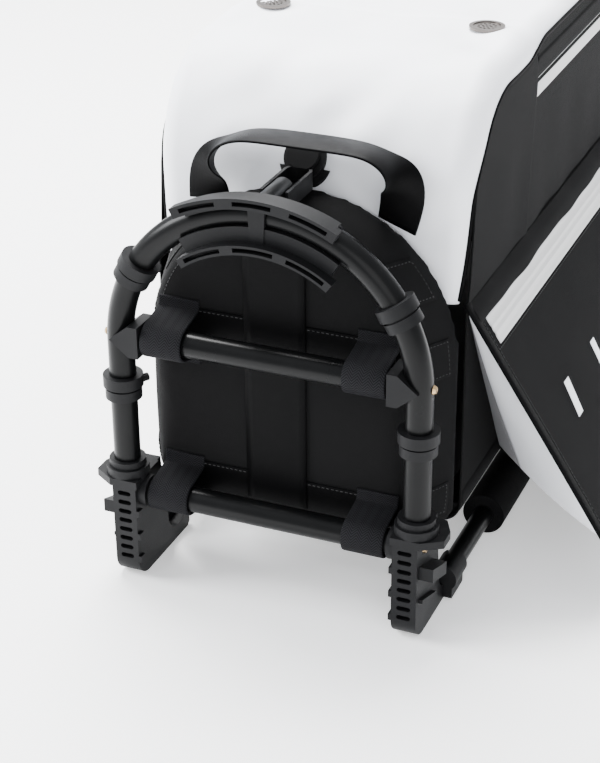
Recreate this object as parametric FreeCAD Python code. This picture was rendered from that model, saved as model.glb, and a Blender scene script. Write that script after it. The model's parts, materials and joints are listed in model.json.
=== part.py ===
import FreeCAD, Part
import os
from math import acos, atan2, cos, degrees, hypot, pi, radians, sin, sqrt

# Wheeled skate bag on a tube chassis.  Millimetres.
# X is across the bag (+X is the pocket side), Y runs from the standing end to the wheeled end,
# Z is up from the floor.  The pieces are modelled with the near arch in the plane Y = 0 and the
# chassis centred on X = 0; the last step moves them so that the origin is the middle of the
# underside of the bounding box.

V = FreeCAD.Vector
X_AXIS = V(1, 0, 0)
Y_AXIS = V(0, 1, 0)
Z_AXIS = V(0, 0, 1)

# ---------------------------------------------------------------- driving dimensions
# Chassis tubes
frame_length = 900.0        # near arch plane to far arch plane
leg_spacing = 300.0         # centre to centre of the two legs of an arch
spring_z = 256.0            # height at which the legs turn into the half circle
leg_bottom_z = 112.0        # lower end of each leg, on the shoulder of its foot
arch_tube_d = 26.0
crossbar_d = 25.0
tube_wall = 1.6
upper_bar_z = 262.0
lower_bar_z = 94.0
bar_in_foot = 8.0           # how far the lower crossbar enters a foot or wheel bracket
bar_in_saddle = 6.0
bar_insert = 14.0           # solid threaded end inside each crossbar
rail_d = 20.0
rail_offset = 8.0           # rail axis outside the leg axis
rail_z = 24.0
rail_start_y = 64.0
sleeve_d = 44.0
sleeve_start_y = 189.0
sleeve_end_gap = 40.0       # bare rail between the sleeve and the wheel bracket

# Fits
press_gap = 0.05            # radial gap of a pushed-together joint
running_gap = 0.05          # radial gap of a bearing on its axle
moving_gap = 0.5            # gap between fabric parts that move apart
cloth_gap = 0.3             # gap between a webbing loop and what it lies on

# Feet
foot_inner = 17.0           # foot body from the leg axis towards the middle
foot_outer = 8.0            # foot body from the leg axis outwards
foot_front_wall = 7.0       # foot face in front of the tube
foot_back_y = 36.0
foot_tail_y = 94.0
foot_tail_z = 12.0
foot_corner_r = 22.0
foot_flange_z = 104.0
foot_flange_out = 30.0
foot_slot_count = 8
foot_slot = (14.0, 5.0, 6.0)    # length, height, depth
foot_slot_pitch = 10.2
foot_slot_top_z = 97.0
claw_r = 21.0
claw_y = 68.0
claw_z = 36.0
ring_wall = 8.0             # lower ring of the leg socket, round the tube
ring_top_wall = 5.0
ring_top_z = 128.0
spigot_len = 34.0           # plug of the foot inside the leg
rail_clip_wall = 3.5
rail_clip_mouth = 12.0

# Saddles, collars, bumper, screws
saddle_half_h = 16.0
saddle_side_wall = 4.0      # beside the tube
saddle_inner_wall = 13.0    # between the tube and the crossbar side
saddle_shoulder_wall = 3.0
saddle_nose = 4.0
collar_angle = 30.0         # upper collars, degrees above the spring line
collar_low_z = 207.0
collar_big_wall = 6.5       # round the tube
collar_small_wall = 4.8
collar_len = 24.0
bumper_depth = 13.0         # face in front of the tube
bumper_rib_gap = 1.0        # back of the ribs in front of the tube
bumper_top_rise = (-1.0, 9.0)       # upper rib above the tube's outer side
bumper_low_drop = (18.0, 9.0)       # lower rib below the tube's inner side
bumper_top_spread = 28.0            # half angle
bumper_low_spread = 36.0
bumper_web_back_y = 0.8
bumper_slot_w = 4.2
bumper_slot_depth = 8.0
screw_r = 2.5
screw_head_r = 4.5
screw_head_h = 2.6

# Bag body
bag_start_y = 95.0
bag_half_w = 158.0
bag_bottom_z = 62.0
bag_top_z = 507.0
bag_wall = 4.0
bag_top_r = 110.0           # round of the two ends, seen from the side
bag_low_r = 30.0
bag_edge_r = 22.0           # round of the long edges
lid_hinge_y = 304.0
lid_split_z = 455.0
board_t = 3.0
board_margin = 12.0

# End caps
cap_face_y = 30.0
cap_taper = 28.0            # the face is this much narrower on each side
cap_face_bottom_z = 85.0
cap_back_drop = 16.0        # the arch of the back outline stands this much lower
cap_corner_r = 26.0
cap_wall = 6.0
cap_hole_margin = 18.0
white_tip_z = 300.0

# Side pocket
pocket_start_y = 105.0
pocket_fold = 130.0         # how far the end gussets run back along the bag side
pocket_top_z = 299.0
pocket_flare = 144.0        # lower edge of the panel from the bag's side wall
pocket_tip_z = 78.0
pocket_low_z = 66.0
pocket_wall = 3.0

# Zips
zip_tape_w = 40.0
zip_tape_t = 1.5
zip_start_margin = 6.0
pocket_zip_w = 27.0
pocket_zip_drop = 24.0      # tape edge below the pocket's top seam, along the panel
pocket_zip_margin = 28.0
slider = (20.0, 12.0, 5.0)  # length, width, height
slider_gap = 0.4
slider_lug = (8.0, 4.0, 7.0)
main_slider_from_end = 165.0    # closed slider before the far end of the bag
pocket_slider_from_end = 175.0  # closed slider before the far end of the pocket
pull = (34.0, 9.0, 2.0)     # length, width, thickness
pull_pin_r = 1.2

# Grab handle and webbing
handle_w = 40.0
handle_t = 4.0
handle_inset = 56.0         # seams of the handle from the cap's sides
handle_base_y = 88.0
handle_gap_z = 8.0          # seam of the handle above the cap's top surface
handle_top_y = 66.0
handle_top_rise = 39.0      # top of the handle above the anchor's axis
handle_lean_x = 14.0        # the loop stands a little towards the pocket side
loop_w = 42.0
loop_saddle_gap = 2.0       # a loop sits this far inside the saddle
loop_edge_gap = 8.0         # and at least this far inside the edge of the cap's face
loop_slack = 1.5            # room round the crossbar
loop_t = 3.2
loop_half_h = 24.0
arch_loop_angles = (10.0, 27.0)
vent_r = 17.5
vent_inset = 46.0           # from the bag's side wall
vent_y = 285.0
vent_t = 2.2

# Anchor between the near arch and the bag
stub_r = 10.0
stub_end_y = 46.0
anchor_rise = 8.0           # above the axis of the arch's top
bracket_half_w = 14.0
bracket_start_y = 24.0
bracket_end_y = 92.0
boot_r = 27.0
boot_tilt = 35.0
boot_h = 9.0

# Wheels
wheel_r = 36.0
wheel_w = 24.0
hub_r = 19.0
bearing_r = 11.0
bearing_w = 7.0
axle_r = 4.0
cheek_t = 4.5
cheek_gap = 1.5
bracket_block_bottom = 77.0
wheel_clear = 5.0

# ---------------------------------------------------------------- derived places
half = leg_spacing / 2
arch_r = half
tube_r = arch_tube_d / 2
bar_r = crossbar_d / 2
rail_r = rail_d / 2
sleeve_r = sleeve_d / 2
rail_x = half + rail_offset
foot_front_y = -tube_r - foot_front_wall
ring_r = tube_r + ring_wall
ring_top_r = tube_r + ring_top_wall
saddle_half_y = tube_r + saddle_side_wall
saddle_inner = tube_r + saddle_inner_wall
saddle_shoulder = tube_r + saddle_shoulder_wall
collar_big_r = tube_r + collar_big_wall
collar_small_r = tube_r + collar_small_wall
bumper_front_y = -tube_r - bumper_depth
bumper_rib_back_y = -tube_r - bumper_rib_gap
bumper_top = (arch_r + tube_r + bumper_top_rise[0], arch_r + tube_r + bumper_top_rise[1],
              bumper_top_spread)
bumper_low = (arch_r - tube_r - bumper_low_drop[0], arch_r - tube_r - bumper_low_drop[1],
              bumper_low_spread)
bag_end_y = frame_length - bag_start_y
cap_face_half_w = bag_half_w - cap_taper
pocket_tip_x = bag_half_w + pocket_flare
main_slider_y = bag_end_y - main_slider_from_end
pocket_slider_y = frame_length - pocket_start_y - pocket_slider_from_end
handle_base_x = bag_half_w - handle_inset
loop_x = min(half - saddle_inner - loop_saddle_gap, cap_face_half_w - loop_edge_gap) - loop_w / 2
loop_inner_r = bar_r + loop_slack
vent_x = bag_half_w - vent_inset
anchor_z = spring_z + arch_r + anchor_rise
handle_top_z = anchor_z + handle_top_rise
cap_back_half_w = bag_half_w
cap_back_spring_z = spring_z - cap_back_drop
handle_base_z = cap_back_spring_z + sqrt(cap_back_half_w ** 2 - handle_base_x ** 2) + handle_gap_z
mid_y = frame_length / 2
axle_y = frame_length
far = 2000.0


# ---------------------------------------------------------------- small helpers
def box(x0, x1, y0, y1, z0, z1):
    """Box between two opposite corners."""
    return Part.makeBox(x1 - x0, y1 - y0, z1 - z0, V(x0, y0, z0))


def rod(radius, start, end):
    """Solid cylinder from one point to another."""
    axis = end - start
    return Part.makeCylinder(radius, axis.Length, start, axis)


def pipe(outer_r, inner_r, start, end):
    """Tube from one point to another."""
    return rod(outer_r, start, end).cut(rod(inner_r, start, end))


def prism(points, direction):
    """Solid from a closed outline of points, pushed along a vector."""
    return Part.Face(Part.makePolygon(points + [points[0]])).extrude(direction)


def outline(segments):
    """Face inside line and arc segments given in order: 2 points a line, 3 points an arc."""
    edges = []
    for points in segments:
        if len(points) == 2:
            edges.append(Part.LineSegment(*points).toShape())
        else:
            edges.append(Part.Arc(*points).toShape())
    return Part.Face(Part.Wire(edges))


def mirrored_x(shape):
    """The same piece on the other side of the chassis."""
    return shape.mirror(V(0, 0, 0), X_AXIS)


def mirrored_y(shape):
    """The same piece at the other end of the chassis."""
    return shape.mirror(V(0, mid_y, 0), Y_AXIS)


def fused(shapes):
    """One clean solid out of overlapping ones."""
    return shapes[0].multiFuse(shapes[1:]).removeSplitter()


def sector(r0, r1, a0, a1, y0, y1):
    """Ring sector about the arch centre; angles in degrees from straight up, towards +X."""
    def at(r, a):
        return V(r * sin(radians(a)), y0, spring_z + r * cos(radians(a)))
    middle = (a0 + a1) / 2
    face = outline([(at(r0, a0), at(r1, a0)),
                    (at(r1, a0), at(r1, middle), at(r1, a1)),
                    (at(r1, a1), at(r0, a1)),
                    (at(r0, a1), at(r0, middle), at(r0, a0))])
    return face.extrude(V(0, y1 - y0, 0))


def u_bar(radius, y):
    """Solid bar with the course of an arch: two legs and a half circle."""
    ring = Part.makeTorus(arch_r, radius, V(0, y, spring_z), Y_AXIS)
    top = ring.common(box(-far, far, -far, far, spring_z, far))
    legs = [rod(radius, V(side * half, y, leg_bottom_z), V(side * half, y, spring_z))
            for side in (-1, 1)]
    return fused([top] + legs)


# ---------------------------------------------------------------- chassis tubes
def arch_tube(y):
    """Bent tube of one end frame, with the screw holes of the upper crossbar."""
    tube = u_bar(tube_r, y).cut(u_bar(tube_r - tube_wall, y))
    return tube.cut(rod(screw_r + press_gap, V(-far, y, upper_bar_z), V(far, y, upper_bar_z)))


def crossbar(y, z, half_length):
    """Crossbar tube with a threaded insert in each end."""
    bar = rod(bar_r, V(-half_length, y, z), V(half_length, y, z))
    hollow_half = half_length - bar_insert
    bar = bar.cut(rod(bar_r - tube_wall, V(-hollow_half, y, z), V(hollow_half, y, z)))
    return bar.cut(rod(screw_r + press_gap, V(-far, y, z), V(far, y, z)))


def upper_crossbar(y):
    """Crossbar between the two saddles."""
    return crossbar(y, upper_bar_z, half - saddle_inner + bar_in_saddle)


def lower_crossbar(y):
    """Crossbar between the two feet, or between the two wheel brackets."""
    return crossbar(y, lower_bar_z, half - foot_inner + bar_in_foot)


def saddle(y):
    """Pointed block that seats the upper crossbar against the right leg."""
    inner_x = half - saddle_inner
    points = [V(inner_x, y - saddle_half_y, upper_bar_z - saddle_half_h),
              V(half - saddle_shoulder, y - saddle_half_y, upper_bar_z - saddle_half_h),
              V(half + saddle_nose, y - saddle_half_y, upper_bar_z),
              V(half - saddle_shoulder, y - saddle_half_y, upper_bar_z + saddle_half_h),
              V(inner_x, y - saddle_half_y, upper_bar_z + saddle_half_h)]
    block = prism(points, V(0, 2 * saddle_half_y, 0))
    block = block.cut(u_bar(tube_r + press_gap, y))
    bore = rod(bar_r + press_gap, V(0, y, upper_bar_z), V(inner_x + bar_in_saddle, y, upper_bar_z))
    hole = rod(screw_r + press_gap, V(0, y, upper_bar_z), V(far, y, upper_bar_z))
    block = block.cut(bore).cut(hole)
    return max(block.Solids, key=lambda solid: solid.Volume)


def screw(y, z, seat_x, tip_x):
    """Round-head screw driven from the outside towards the middle, right side."""
    head = Part.makeCone(screw_head_r, screw_head_r * 0.7, screw_head_h, V(seat_x, y, z), X_AXIS)
    shank = rod(screw_r, V(tip_x, y, z), V(seat_x, y, z))
    socket = box(seat_x + screw_head_h - 1.2, far, y - 0.6, y + 0.6, z - 3, z + 3)
    return fused([head, shank]).cut(socket)


def frame_screws():
    """All eight crossbar screws; the near four are half of them."""
    screws = []
    tip_x = half - saddle_inner - 4
    for y, low_seat in ((0.0, half + foot_outer), (frame_length, half + wheel_bracket_half())):
        screws.append(screw(y, upper_bar_z, half + tube_r, tip_x))
        screws.append(screw(y, lower_bar_z, low_seat, tip_x))
    return Part.makeCompound(screws + [mirrored_x(item) for item in screws])


# ---------------------------------------------------------------- feet
def leg_socket(y, base_z):
    """Two-step ring round the foot of the leg, and the plug that goes up inside the tube."""
    ring = fused([rod(ring_r, V(half, y, base_z), V(half, y, ring_top_z - 7)),
                  rod(ring_top_r, V(half, y, base_z), V(half, y, ring_top_z))])
    ring = ring.cut(rod(tube_r + press_gap, V(half, y, leg_bottom_z), V(half, y, far)))
    plug_r = tube_r - tube_wall - press_gap
    return [ring, rod(plug_r, V(half, y, base_z), V(half, y, leg_bottom_z + spigot_len))]


def bar_socket(y, reach):
    """Collar on the inner side that takes the end of the lower crossbar."""
    return rod(bar_r + 3.5, V(half - foot_inner - reach, y, lower_bar_z),
               V(half - foot_inner + 1, y, lower_bar_z))


def bar_and_screw_bore(y):
    """Room for the end of the lower crossbar and for its screw."""
    inner_end = half - foot_inner + bar_in_foot
    return fused([rod(bar_r + press_gap, V(0, y, lower_bar_z), V(inner_end, y, lower_bar_z)),
                  rod(screw_r + press_gap, V(0, y, lower_bar_z), V(far, y, lower_bar_z))])


def foot():
    """Right foot: slotted front plate, flat sole, claw, flange, fins and rail clip."""
    x0, x1 = half - foot_inner, half + foot_outer
    top_z = leg_bottom_z
    r = foot_corner_r
    corner = V(x0, foot_front_y + r * (1 - cos(pi / 4)), r * (1 - sin(pi / 4)))
    claw_back = V(x0, claw_y, claw_z - claw_r)
    claw_mid = V(x0, claw_y - claw_r * cos(pi / 4), claw_z - claw_r * sin(pi / 4))
    claw_front = V(x0, claw_y - claw_r, claw_z)
    side = outline([
        (V(x0, foot_front_y, top_z), V(x0, foot_front_y, r)),
        (V(x0, foot_front_y, r), corner, V(x0, foot_front_y + r, 0)),
        (V(x0, foot_front_y + r, 0), V(x0, foot_tail_y - 4, 0)),
        (V(x0, foot_tail_y - 4, 0), V(x0, foot_tail_y, 4)),
        (V(x0, foot_tail_y, 4), V(x0, foot_tail_y, foot_tail_z + 6)),
        (V(x0, foot_tail_y, foot_tail_z + 6), V(x0, foot_tail_y - 5, foot_tail_z + 6)),
        (V(x0, foot_tail_y - 5, foot_tail_z + 6), claw_back),
        (claw_back, claw_mid, claw_front),
        (claw_front, V(x0, foot_back_y, top_z)),
        (V(x0, foot_back_y, top_z), V(x0, foot_front_y, top_z))])
    parts = [side.extrude(V(x1 - x0, 0, 0))]
    flange = prism([V(x0 - 2, foot_front_y - 1, foot_flange_z),
                    V(x1 + 2, foot_front_y - 1, foot_flange_z),
                    V(half + foot_flange_out, foot_front_y + 12, foot_flange_z),
                    V(half + foot_flange_out, foot_front_y + 30, foot_flange_z),
                    V(half + ring_r, foot_front_y + 48, foot_flange_z),
                    V(x0 - 2, foot_front_y + 48, foot_flange_z)],
                   V(0, 0, leg_bottom_z - foot_flange_z))
    parts.append(flange)
    parts += leg_socket(0.0, foot_flange_z)
    for low_z, high_z, reach in ((64.0, 82.0, 22.0), (38.0, 46.0, 12.5)):
        fin = prism([V(half, foot_front_y + 6, low_z + 4), V(half, foot_front_y + 6, high_z),
                     V(half, foot_back_y - 10, high_z - 14), V(half, foot_back_y - 10, low_z - 10)],
                    V(reach, 0, 0))
        parts.append(fin)
    for rib_z in (76.0, 50.0, 24.0):
        parts.append(box(x0 - 3, x0 + 2, foot_front_y, foot_front_y + 8, rib_z - 4, rib_z + 3))
    parts.append(bar_socket(0.0, 8.0))
    clip_r = rail_r + rail_clip_wall
    parts.append(rod(clip_r, V(rail_x, rail_start_y - 4, rail_z), V(rail_x, foot_tail_y, rail_z)))
    parts.append(box(rail_x - clip_r, rail_x + clip_r * 0.7, rail_start_y - 4, foot_tail_y,
                     3.0, rail_z - 4))
    body = fused(parts)
    for index in range(foot_slot_count):
        z = foot_slot_top_z - index * foot_slot_pitch
        slot_len, slot_h, slot_depth = foot_slot
        middle_x = (x0 + x1) / 2
        ends = [rod(slot_h / 2, V(middle_x + s * (slot_len - slot_h) / 2, foot_front_y - 2, z),
                    V(middle_x + s * (slot_len - slot_h) / 2, foot_front_y + slot_depth, z))
                for s in (-1, 1)]
        bar = box(middle_x - (slot_len - slot_h) / 2, middle_x + (slot_len - slot_h) / 2,
                  foot_front_y - 2, foot_front_y + slot_depth, z - slot_h / 2, z + slot_h / 2)
        body = body.cut(fused(ends + [bar]))
    body = body.cut(bar_and_screw_bore(0.0))
    body = body.cut(rod(rail_r + press_gap, V(rail_x, rail_start_y, rail_z), V(rail_x, far, rail_z)))
    mouth = rail_clip_mouth / 2
    return body.cut(box(rail_x - mouth, rail_x + mouth, rail_start_y, far, rail_z, rail_z + 40))


# ---------------------------------------------------------------- bumper and collars
def bumper(y):
    """Two slotted ribs over and under the arch tube, joined by webs that hug the tube."""
    solids = []
    for r0, r1, spread in (bumper_top, bumper_low):
        solids.append(sector(r0, r1, -spread, spread, bumper_front_y, bumper_rib_back_y))
    top_web = sector(bumper_top[0] - 4, bumper_top[1] - 3, -26, 26, bumper_rib_back_y - 1,
                     bumper_web_back_y)
    low_web = sector(bumper_low[0] + 4, bumper_low[1] + 14, -33, 33, bumper_rib_back_y - 1,
                     bumper_web_back_y)
    tie = sector(bumper_low[0] + 4, bumper_top[1] - 3, -3, 3, -tube_r - 3, bumper_web_back_y)
    body = fused(solids + [top_web, low_web, tie])
    for r0, r1, spread in (bumper_top, bumper_low):
        mid_r = (r0 + r1) / 2
        step = 2 * spread / 3
        for index in range(3):
            start = -spread + index * step + 3.0
            body = body.cut(sector(mid_r - bumper_slot_w / 2, mid_r + bumper_slot_w / 2, start,
                                   start + step - 6.0, bumper_front_y - 1,
                                   bumper_front_y + bumper_slot_depth))
    body.translate(V(0, y, 0))
    return body.cut(u_bar(tube_r + press_gap, y))


def collar(y, centre, direction, tab_dir):
    """Two-ring snap collar on the arch tube, with a small eye tab."""
    start = centre - direction * (collar_len / 2)
    rings = fused([rod(collar_small_r, start, start + direction * (collar_len * 0.42)),
                   rod(collar_small_r - 2, start, start + direction * collar_len),
                   rod(collar_big_r, start + direction * (collar_len * 0.52),
                       start + direction * collar_len)])
    tab = rod(4.0, centre, centre + tab_dir * (collar_big_r + 8))
    eye = rod(1.8, centre + tab_dir * (collar_big_r + 4) - direction * 9,
              centre + tab_dir * (collar_big_r + 4) + direction * 9)
    return fused([rings, tab]).cut(eye).cut(u_bar(tube_r + press_gap, y))


def collars(y, back):
    """The four collars of one arch by name; back is +1 when the bag lies towards +Y."""
    found = {}
    angle = radians(90 - collar_angle)
    for side, word in ((-1, "left"), (1, "right")):
        along = V(-side * cos(angle), 0, sin(angle))
        spot = V(side * arch_r * sin(angle), y, spring_z + arch_r * cos(angle))
        tab_dir = V(-side * 0.5 * sin(angle), back * 0.86, -0.5 * cos(angle))
        tab_dir.normalize()
        found["upper_" + word] = collar(y, spot, along, tab_dir)
        low_dir = V(-side * 0.5, back * 0.86, 0)
        low_dir.normalize()
        found["lower_" + word] = collar(y, V(side * half, y, collar_low_z), Z_AXIS, low_dir)
    return found


# ---------------------------------------------------------------- rails and wheels
def wheel_bracket_half():
    """Half width of a wheel bracket: half the wheel, its side gap and one cheek."""
    return wheel_w / 2 + cheek_gap + cheek_t


def rail_end_y():
    """Where the rail stops inside the wheel bracket."""
    return axle_y - wheel_r - wheel_clear - 3


def wheel_bracket():
    """Right wheel bracket: leg socket, two cheeks and the socket of the rail."""
    hw = wheel_bracket_half()
    x0, x1 = half - hw, half + hw
    front_y1 = axle_y - wheel_r - wheel_clear
    front_y0 = front_y1 - 22
    block = box(x0, x1, axle_y - 20, axle_y + 20, bracket_block_bottom, leg_bottom_z)
    side = outline([
        (V(x0, axle_y + 20, leg_bottom_z - 12), V(x0, axle_y + 14, wheel_r)),
        (V(x0, axle_y + 14, wheel_r), V(x0, axle_y, wheel_r - 14), V(x0, axle_y - 14, wheel_r - 2)),
        (V(x0, axle_y - 14, wheel_r - 2), V(x0, front_y0, 10)),
        (V(x0, front_y0, 10), V(x0, front_y0, rail_z + 16)),
        (V(x0, front_y0, rail_z + 16), V(x0, axle_y - 20, leg_bottom_z - 12)),
        (V(x0, axle_y - 20, leg_bottom_z - 12), V(x0, axle_y + 20, leg_bottom_z - 12))])
    cheeks = [side.extrude(V(cheek_t, 0, 0))]
    cheeks.append(cheeks[0].translated(V(2 * hw - cheek_t, 0, 0)))
    nose = box(x0, rail_x + rail_r + rail_clip_wall, front_y0, front_y1, 10, rail_z + 16)
    parts = [block, nose] + cheeks + leg_socket(axle_y, foot_flange_z)
    parts.append(rod(bar_r + 3.5, V(x0 - 6, axle_y, lower_bar_z), V(x0 + 2, axle_y, lower_bar_z)))
    body = fused(parts)
    body = body.cut(bar_and_screw_bore(axle_y))
    body = body.cut(rod(rail_r + press_gap, V(rail_x, 0, rail_z), V(rail_x, rail_end_y(), rail_z)))
    return body.cut(rod(axle_r + press_gap, V(0, axle_y, wheel_r), V(far, axle_y, wheel_r)))


def wheel_tyre():
    """Polyurethane tyre with a rounded tread."""
    hw = wheel_w / 2
    flat_r = wheel_r - hw * 0.55
    x = half
    face = outline([
        (V(x - hw, 0, hub_r), V(x - hw, 0, flat_r)),
        (V(x - hw, 0, flat_r), V(x, 0, wheel_r), V(x + hw, 0, flat_r)),
        (V(x + hw, 0, flat_r), V(x + hw, 0, hub_r)),
        (V(x + hw, 0, hub_r), V(x - hw, 0, hub_r))])
    tyre = face.revolve(V(0, 0, 0), X_AXIS, 360)
    tyre.translate(V(0, axle_y, wheel_r))
    return tyre


def wheel_hub():
    """Hub with a bearing seat on each side and five lightening windows."""
    hw = wheel_w / 2
    hub = rod(hub_r - press_gap, V(half - hw, axle_y, wheel_r), V(half + hw, axle_y, wheel_r))
    hub = hub.cut(rod(axle_r + 2, V(0, axle_y, wheel_r), V(far, axle_y, wheel_r)))
    for side in (-1, 1):
        mouth = V(half + side * hw, axle_y, wheel_r)
        hub = hub.cut(rod(bearing_r + press_gap, mouth,
                          mouth - X_AXIS * (side * (bearing_w + press_gap))))
    for index in range(5):
        angle = 2 * pi * index / 5
        spot = V(0, axle_y + 15 * cos(angle), wheel_r + 15 * sin(angle))
        hub = hub.cut(rod(2.2, spot, spot + V(far, 0, 0)))
    return hub


def wheel_bearings():
    """The two ball bearings of one wheel, each as a ring with a shielded step."""
    rings = []
    for side in (-1, 1):
        outer = V(half + side * wheel_w / 2, axle_y, wheel_r)
        inner = outer - X_AXIS * (side * bearing_w)
        ring = pipe(bearing_r, axle_r + running_gap, inner, outer)
        groove = pipe(bearing_r - 1.6, axle_r + 2.2, outer - X_AXIS * (side * 0.6), outer)
        rings.append(ring.cut(groove))
    return Part.makeCompound(rings)


def wheel_axle():
    """Axle bolt with a hexagon head, a nut and two spacer washers."""
    reach = wheel_bracket_half()
    bolt = rod(axle_r, V(half - reach - 6, axle_y, wheel_r), V(half + reach + 2, axle_y, wheel_r))
    pieces = [bolt]
    for x0, x1 in ((half + reach, half + reach + 5), (half - reach - 6, half - reach)):
        corners = [V(x0, axle_y + 7.5 * cos(pi * k / 3), wheel_r + 7.5 * sin(pi * k / 3))
                   for k in range(6)]
        pieces.append(prism(corners, V(x1 - x0, 0, 0)))
    for side in (-1, 1):
        seat = V(half + side * (wheel_w / 2 + moving_gap / 2), axle_y, wheel_r)
        cheek = V(half + side * (wheel_w / 2 + cheek_gap), axle_y, wheel_r)
        pieces.append(rod(axle_r + 2, seat, cheek))
    return fused(pieces)


def rail():
    """Right rail tube, from the clip of the foot to the wheel bracket."""
    return pipe(rail_r, rail_r - tube_wall, V(rail_x, rail_start_y, rail_z),
                V(rail_x, rail_end_y(), rail_z))


def rail_sleeve():
    """Foam sleeve on the right rail."""
    end_y = rail_end_y() - 22 - sleeve_end_gap
    return pipe(sleeve_r, rail_r + press_gap, V(rail_x, sleeve_start_y, rail_z),
                V(rail_x, end_y, rail_z))


# ---------------------------------------------------------------- bag body
def bag_block(grow):
    """Rounded block of the bag, its skin moved out by grow."""
    y0, y1 = bag_start_y - grow, bag_end_y + grow
    z0, z1 = bag_bottom_z - grow, bag_top_z + grow
    top_r, low_r, edge_r = bag_top_r + grow, bag_low_r + grow, bag_edge_r + grow
    half_w = bag_half_w + grow
    x = -half_w
    k = 1 - cos(pi / 4)
    face = outline([
        (V(x, y0, z0 + low_r), V(x, y0, z1 - top_r)),
        (V(x, y0, z1 - top_r), V(x, y0 + k * top_r, z1 - k * top_r), V(x, y0 + top_r, z1)),
        (V(x, y0 + top_r, z1), V(x, y1 - top_r, z1)),
        (V(x, y1 - top_r, z1), V(x, y1 - k * top_r, z1 - k * top_r), V(x, y1, z1 - top_r)),
        (V(x, y1, z1 - top_r), V(x, y1, z0 + low_r)),
        (V(x, y1, z0 + low_r), V(x, y1 - k * low_r, z0 + k * low_r), V(x, y1 - low_r, z0)),
        (V(x, y1 - low_r, z0), V(x, y0 + low_r, z0)),
        (V(x, y0 + low_r, z0), V(x, y0 + k * low_r, z0 + k * low_r), V(x, y0, z0 + low_r))])
    block = face.extrude(V(2 * half_w, 0, 0))
    rims = [edge for edge in block.Edges
            if edge.BoundBox.XLength < 1e-6 and edge.BoundBox.DiagonalLength > 1e-6]
    return block.makeFillet(edge_r, rims)


def bag_skin():
    """Hollow skin of the whole bag, before it is cut into panels."""
    return bag_block(0.0).cut(bag_block(-bag_wall))


def lid_zone(gap):
    """Room above the zip line and behind the lid's fold."""
    return box(-far, far, lid_hinge_y + gap, far, lid_split_z + gap, far)


def side_wall(skin):
    """Right side wall under the zip line."""
    return skin.common(box(bag_half_w - bag_wall, far, -far, far, -far, far)).cut(lid_zone(0))


def arch_outline(half_w, bottom_z, top_centre_z, y, grow):
    """Arch-shaped wire of an end cap at one depth, moved out by grow."""
    w = half_w + grow
    low = bottom_z - grow
    r = cap_corner_r + grow
    k = r * (1 - cos(pi / 4))
    return outline([
        (V(w, y, low + r), V(w, y, top_centre_z)),
        (V(w, y, top_centre_z), V(0, y, top_centre_z + w), V(-w, y, top_centre_z)),
        (V(-w, y, top_centre_z), V(-w, y, low + r)),
        (V(-w, y, low + r), V(-w + k, y, low + k), V(-w + r, y, low)),
        (V(-w + r, y, low), V(w - r, y, low)),
        (V(w - r, y, low), V(w - k, y, low + k), V(w, y, low + r))]).OuterWire


def cap_block(grow, face_y):
    """Tapered arch block of an end cap."""
    front = arch_outline(cap_face_half_w, cap_face_bottom_z, spring_z, face_y, grow)
    back = arch_outline(cap_back_half_w, bag_bottom_z, cap_back_spring_z, bag_start_y, grow)
    return Part.makeLoft([front, back], True, True)


def front_cap():
    """Padded end of the bag behind the near arch: a hollow shell open towards the bag."""
    return cap_block(0.0, cap_face_y).cut(cap_block(-cap_wall, cap_face_y + cap_wall))


def end_holes():
    """Arch-shaped openings in both ends of the bag, through which it runs on into the caps."""
    reach = 2 * bag_top_r
    rim = arch_outline(cap_back_half_w - cap_hole_margin, bag_bottom_z + cap_hole_margin,
                       cap_back_spring_z, bag_start_y - reach / 2, 0.0)
    near = Part.Face(rim).extrude(V(0, reach / 2 + bag_wall * 2, 0))
    return Part.makeCompound([near, mirrored_y(near)])


def inner_span():
    """Room between the two side walls."""
    reach = bag_half_w - bag_wall
    return box(-reach, reach, -far, far, -far, far)


def end_panel(skin):
    """White panel from beside the cap up over the end and on to the lid's fold."""
    panel = skin.common(inner_span()).cut(end_holes())
    return panel.common(box(-far, far, -far, lid_hinge_y, white_tip_z, far))


def far_panel(skin):
    """White panel under the zip line at the wheeled end."""
    panel = skin.common(inner_span()).cut(end_holes())
    return panel.common(box(-far, far, mid_y, far, white_tip_z, lid_split_z))


def underside(skin):
    """Underside panel between the side walls, turned up at both ends to the white panels."""
    panel = skin.common(inner_span()).cut(end_holes())
    return panel.common(box(-far, far, -far, far, -far, white_tip_z))


def flat_run():
    """Room between the two turned-up ends of the underside."""
    return box(-far, far, bag_start_y + bag_low_r, bag_end_y - bag_low_r, -far, far)


def bag_floor(skin):
    """Flat length of the underside."""
    return underside(skin).common(flat_run())


def bag_lower_ends(skin):
    """The two turned-up ends of the underside."""
    return underside(skin).cut(flat_run())


def base_board():
    """Stiff board that lies on the floor of the bag."""
    edge = bag_half_w - bag_edge_r - board_margin / 2
    return box(-edge, edge, bag_start_y + bag_low_r + board_margin,
               bag_end_y - bag_low_r - board_margin,
               bag_bottom_z + bag_wall + cloth_gap, bag_bottom_z + bag_wall + cloth_gap + board_t)


def lid(skin):
    """Top of the bag: panel with a shallow skirt on three sides."""
    return skin.common(lid_zone(moving_gap * 2))


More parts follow.
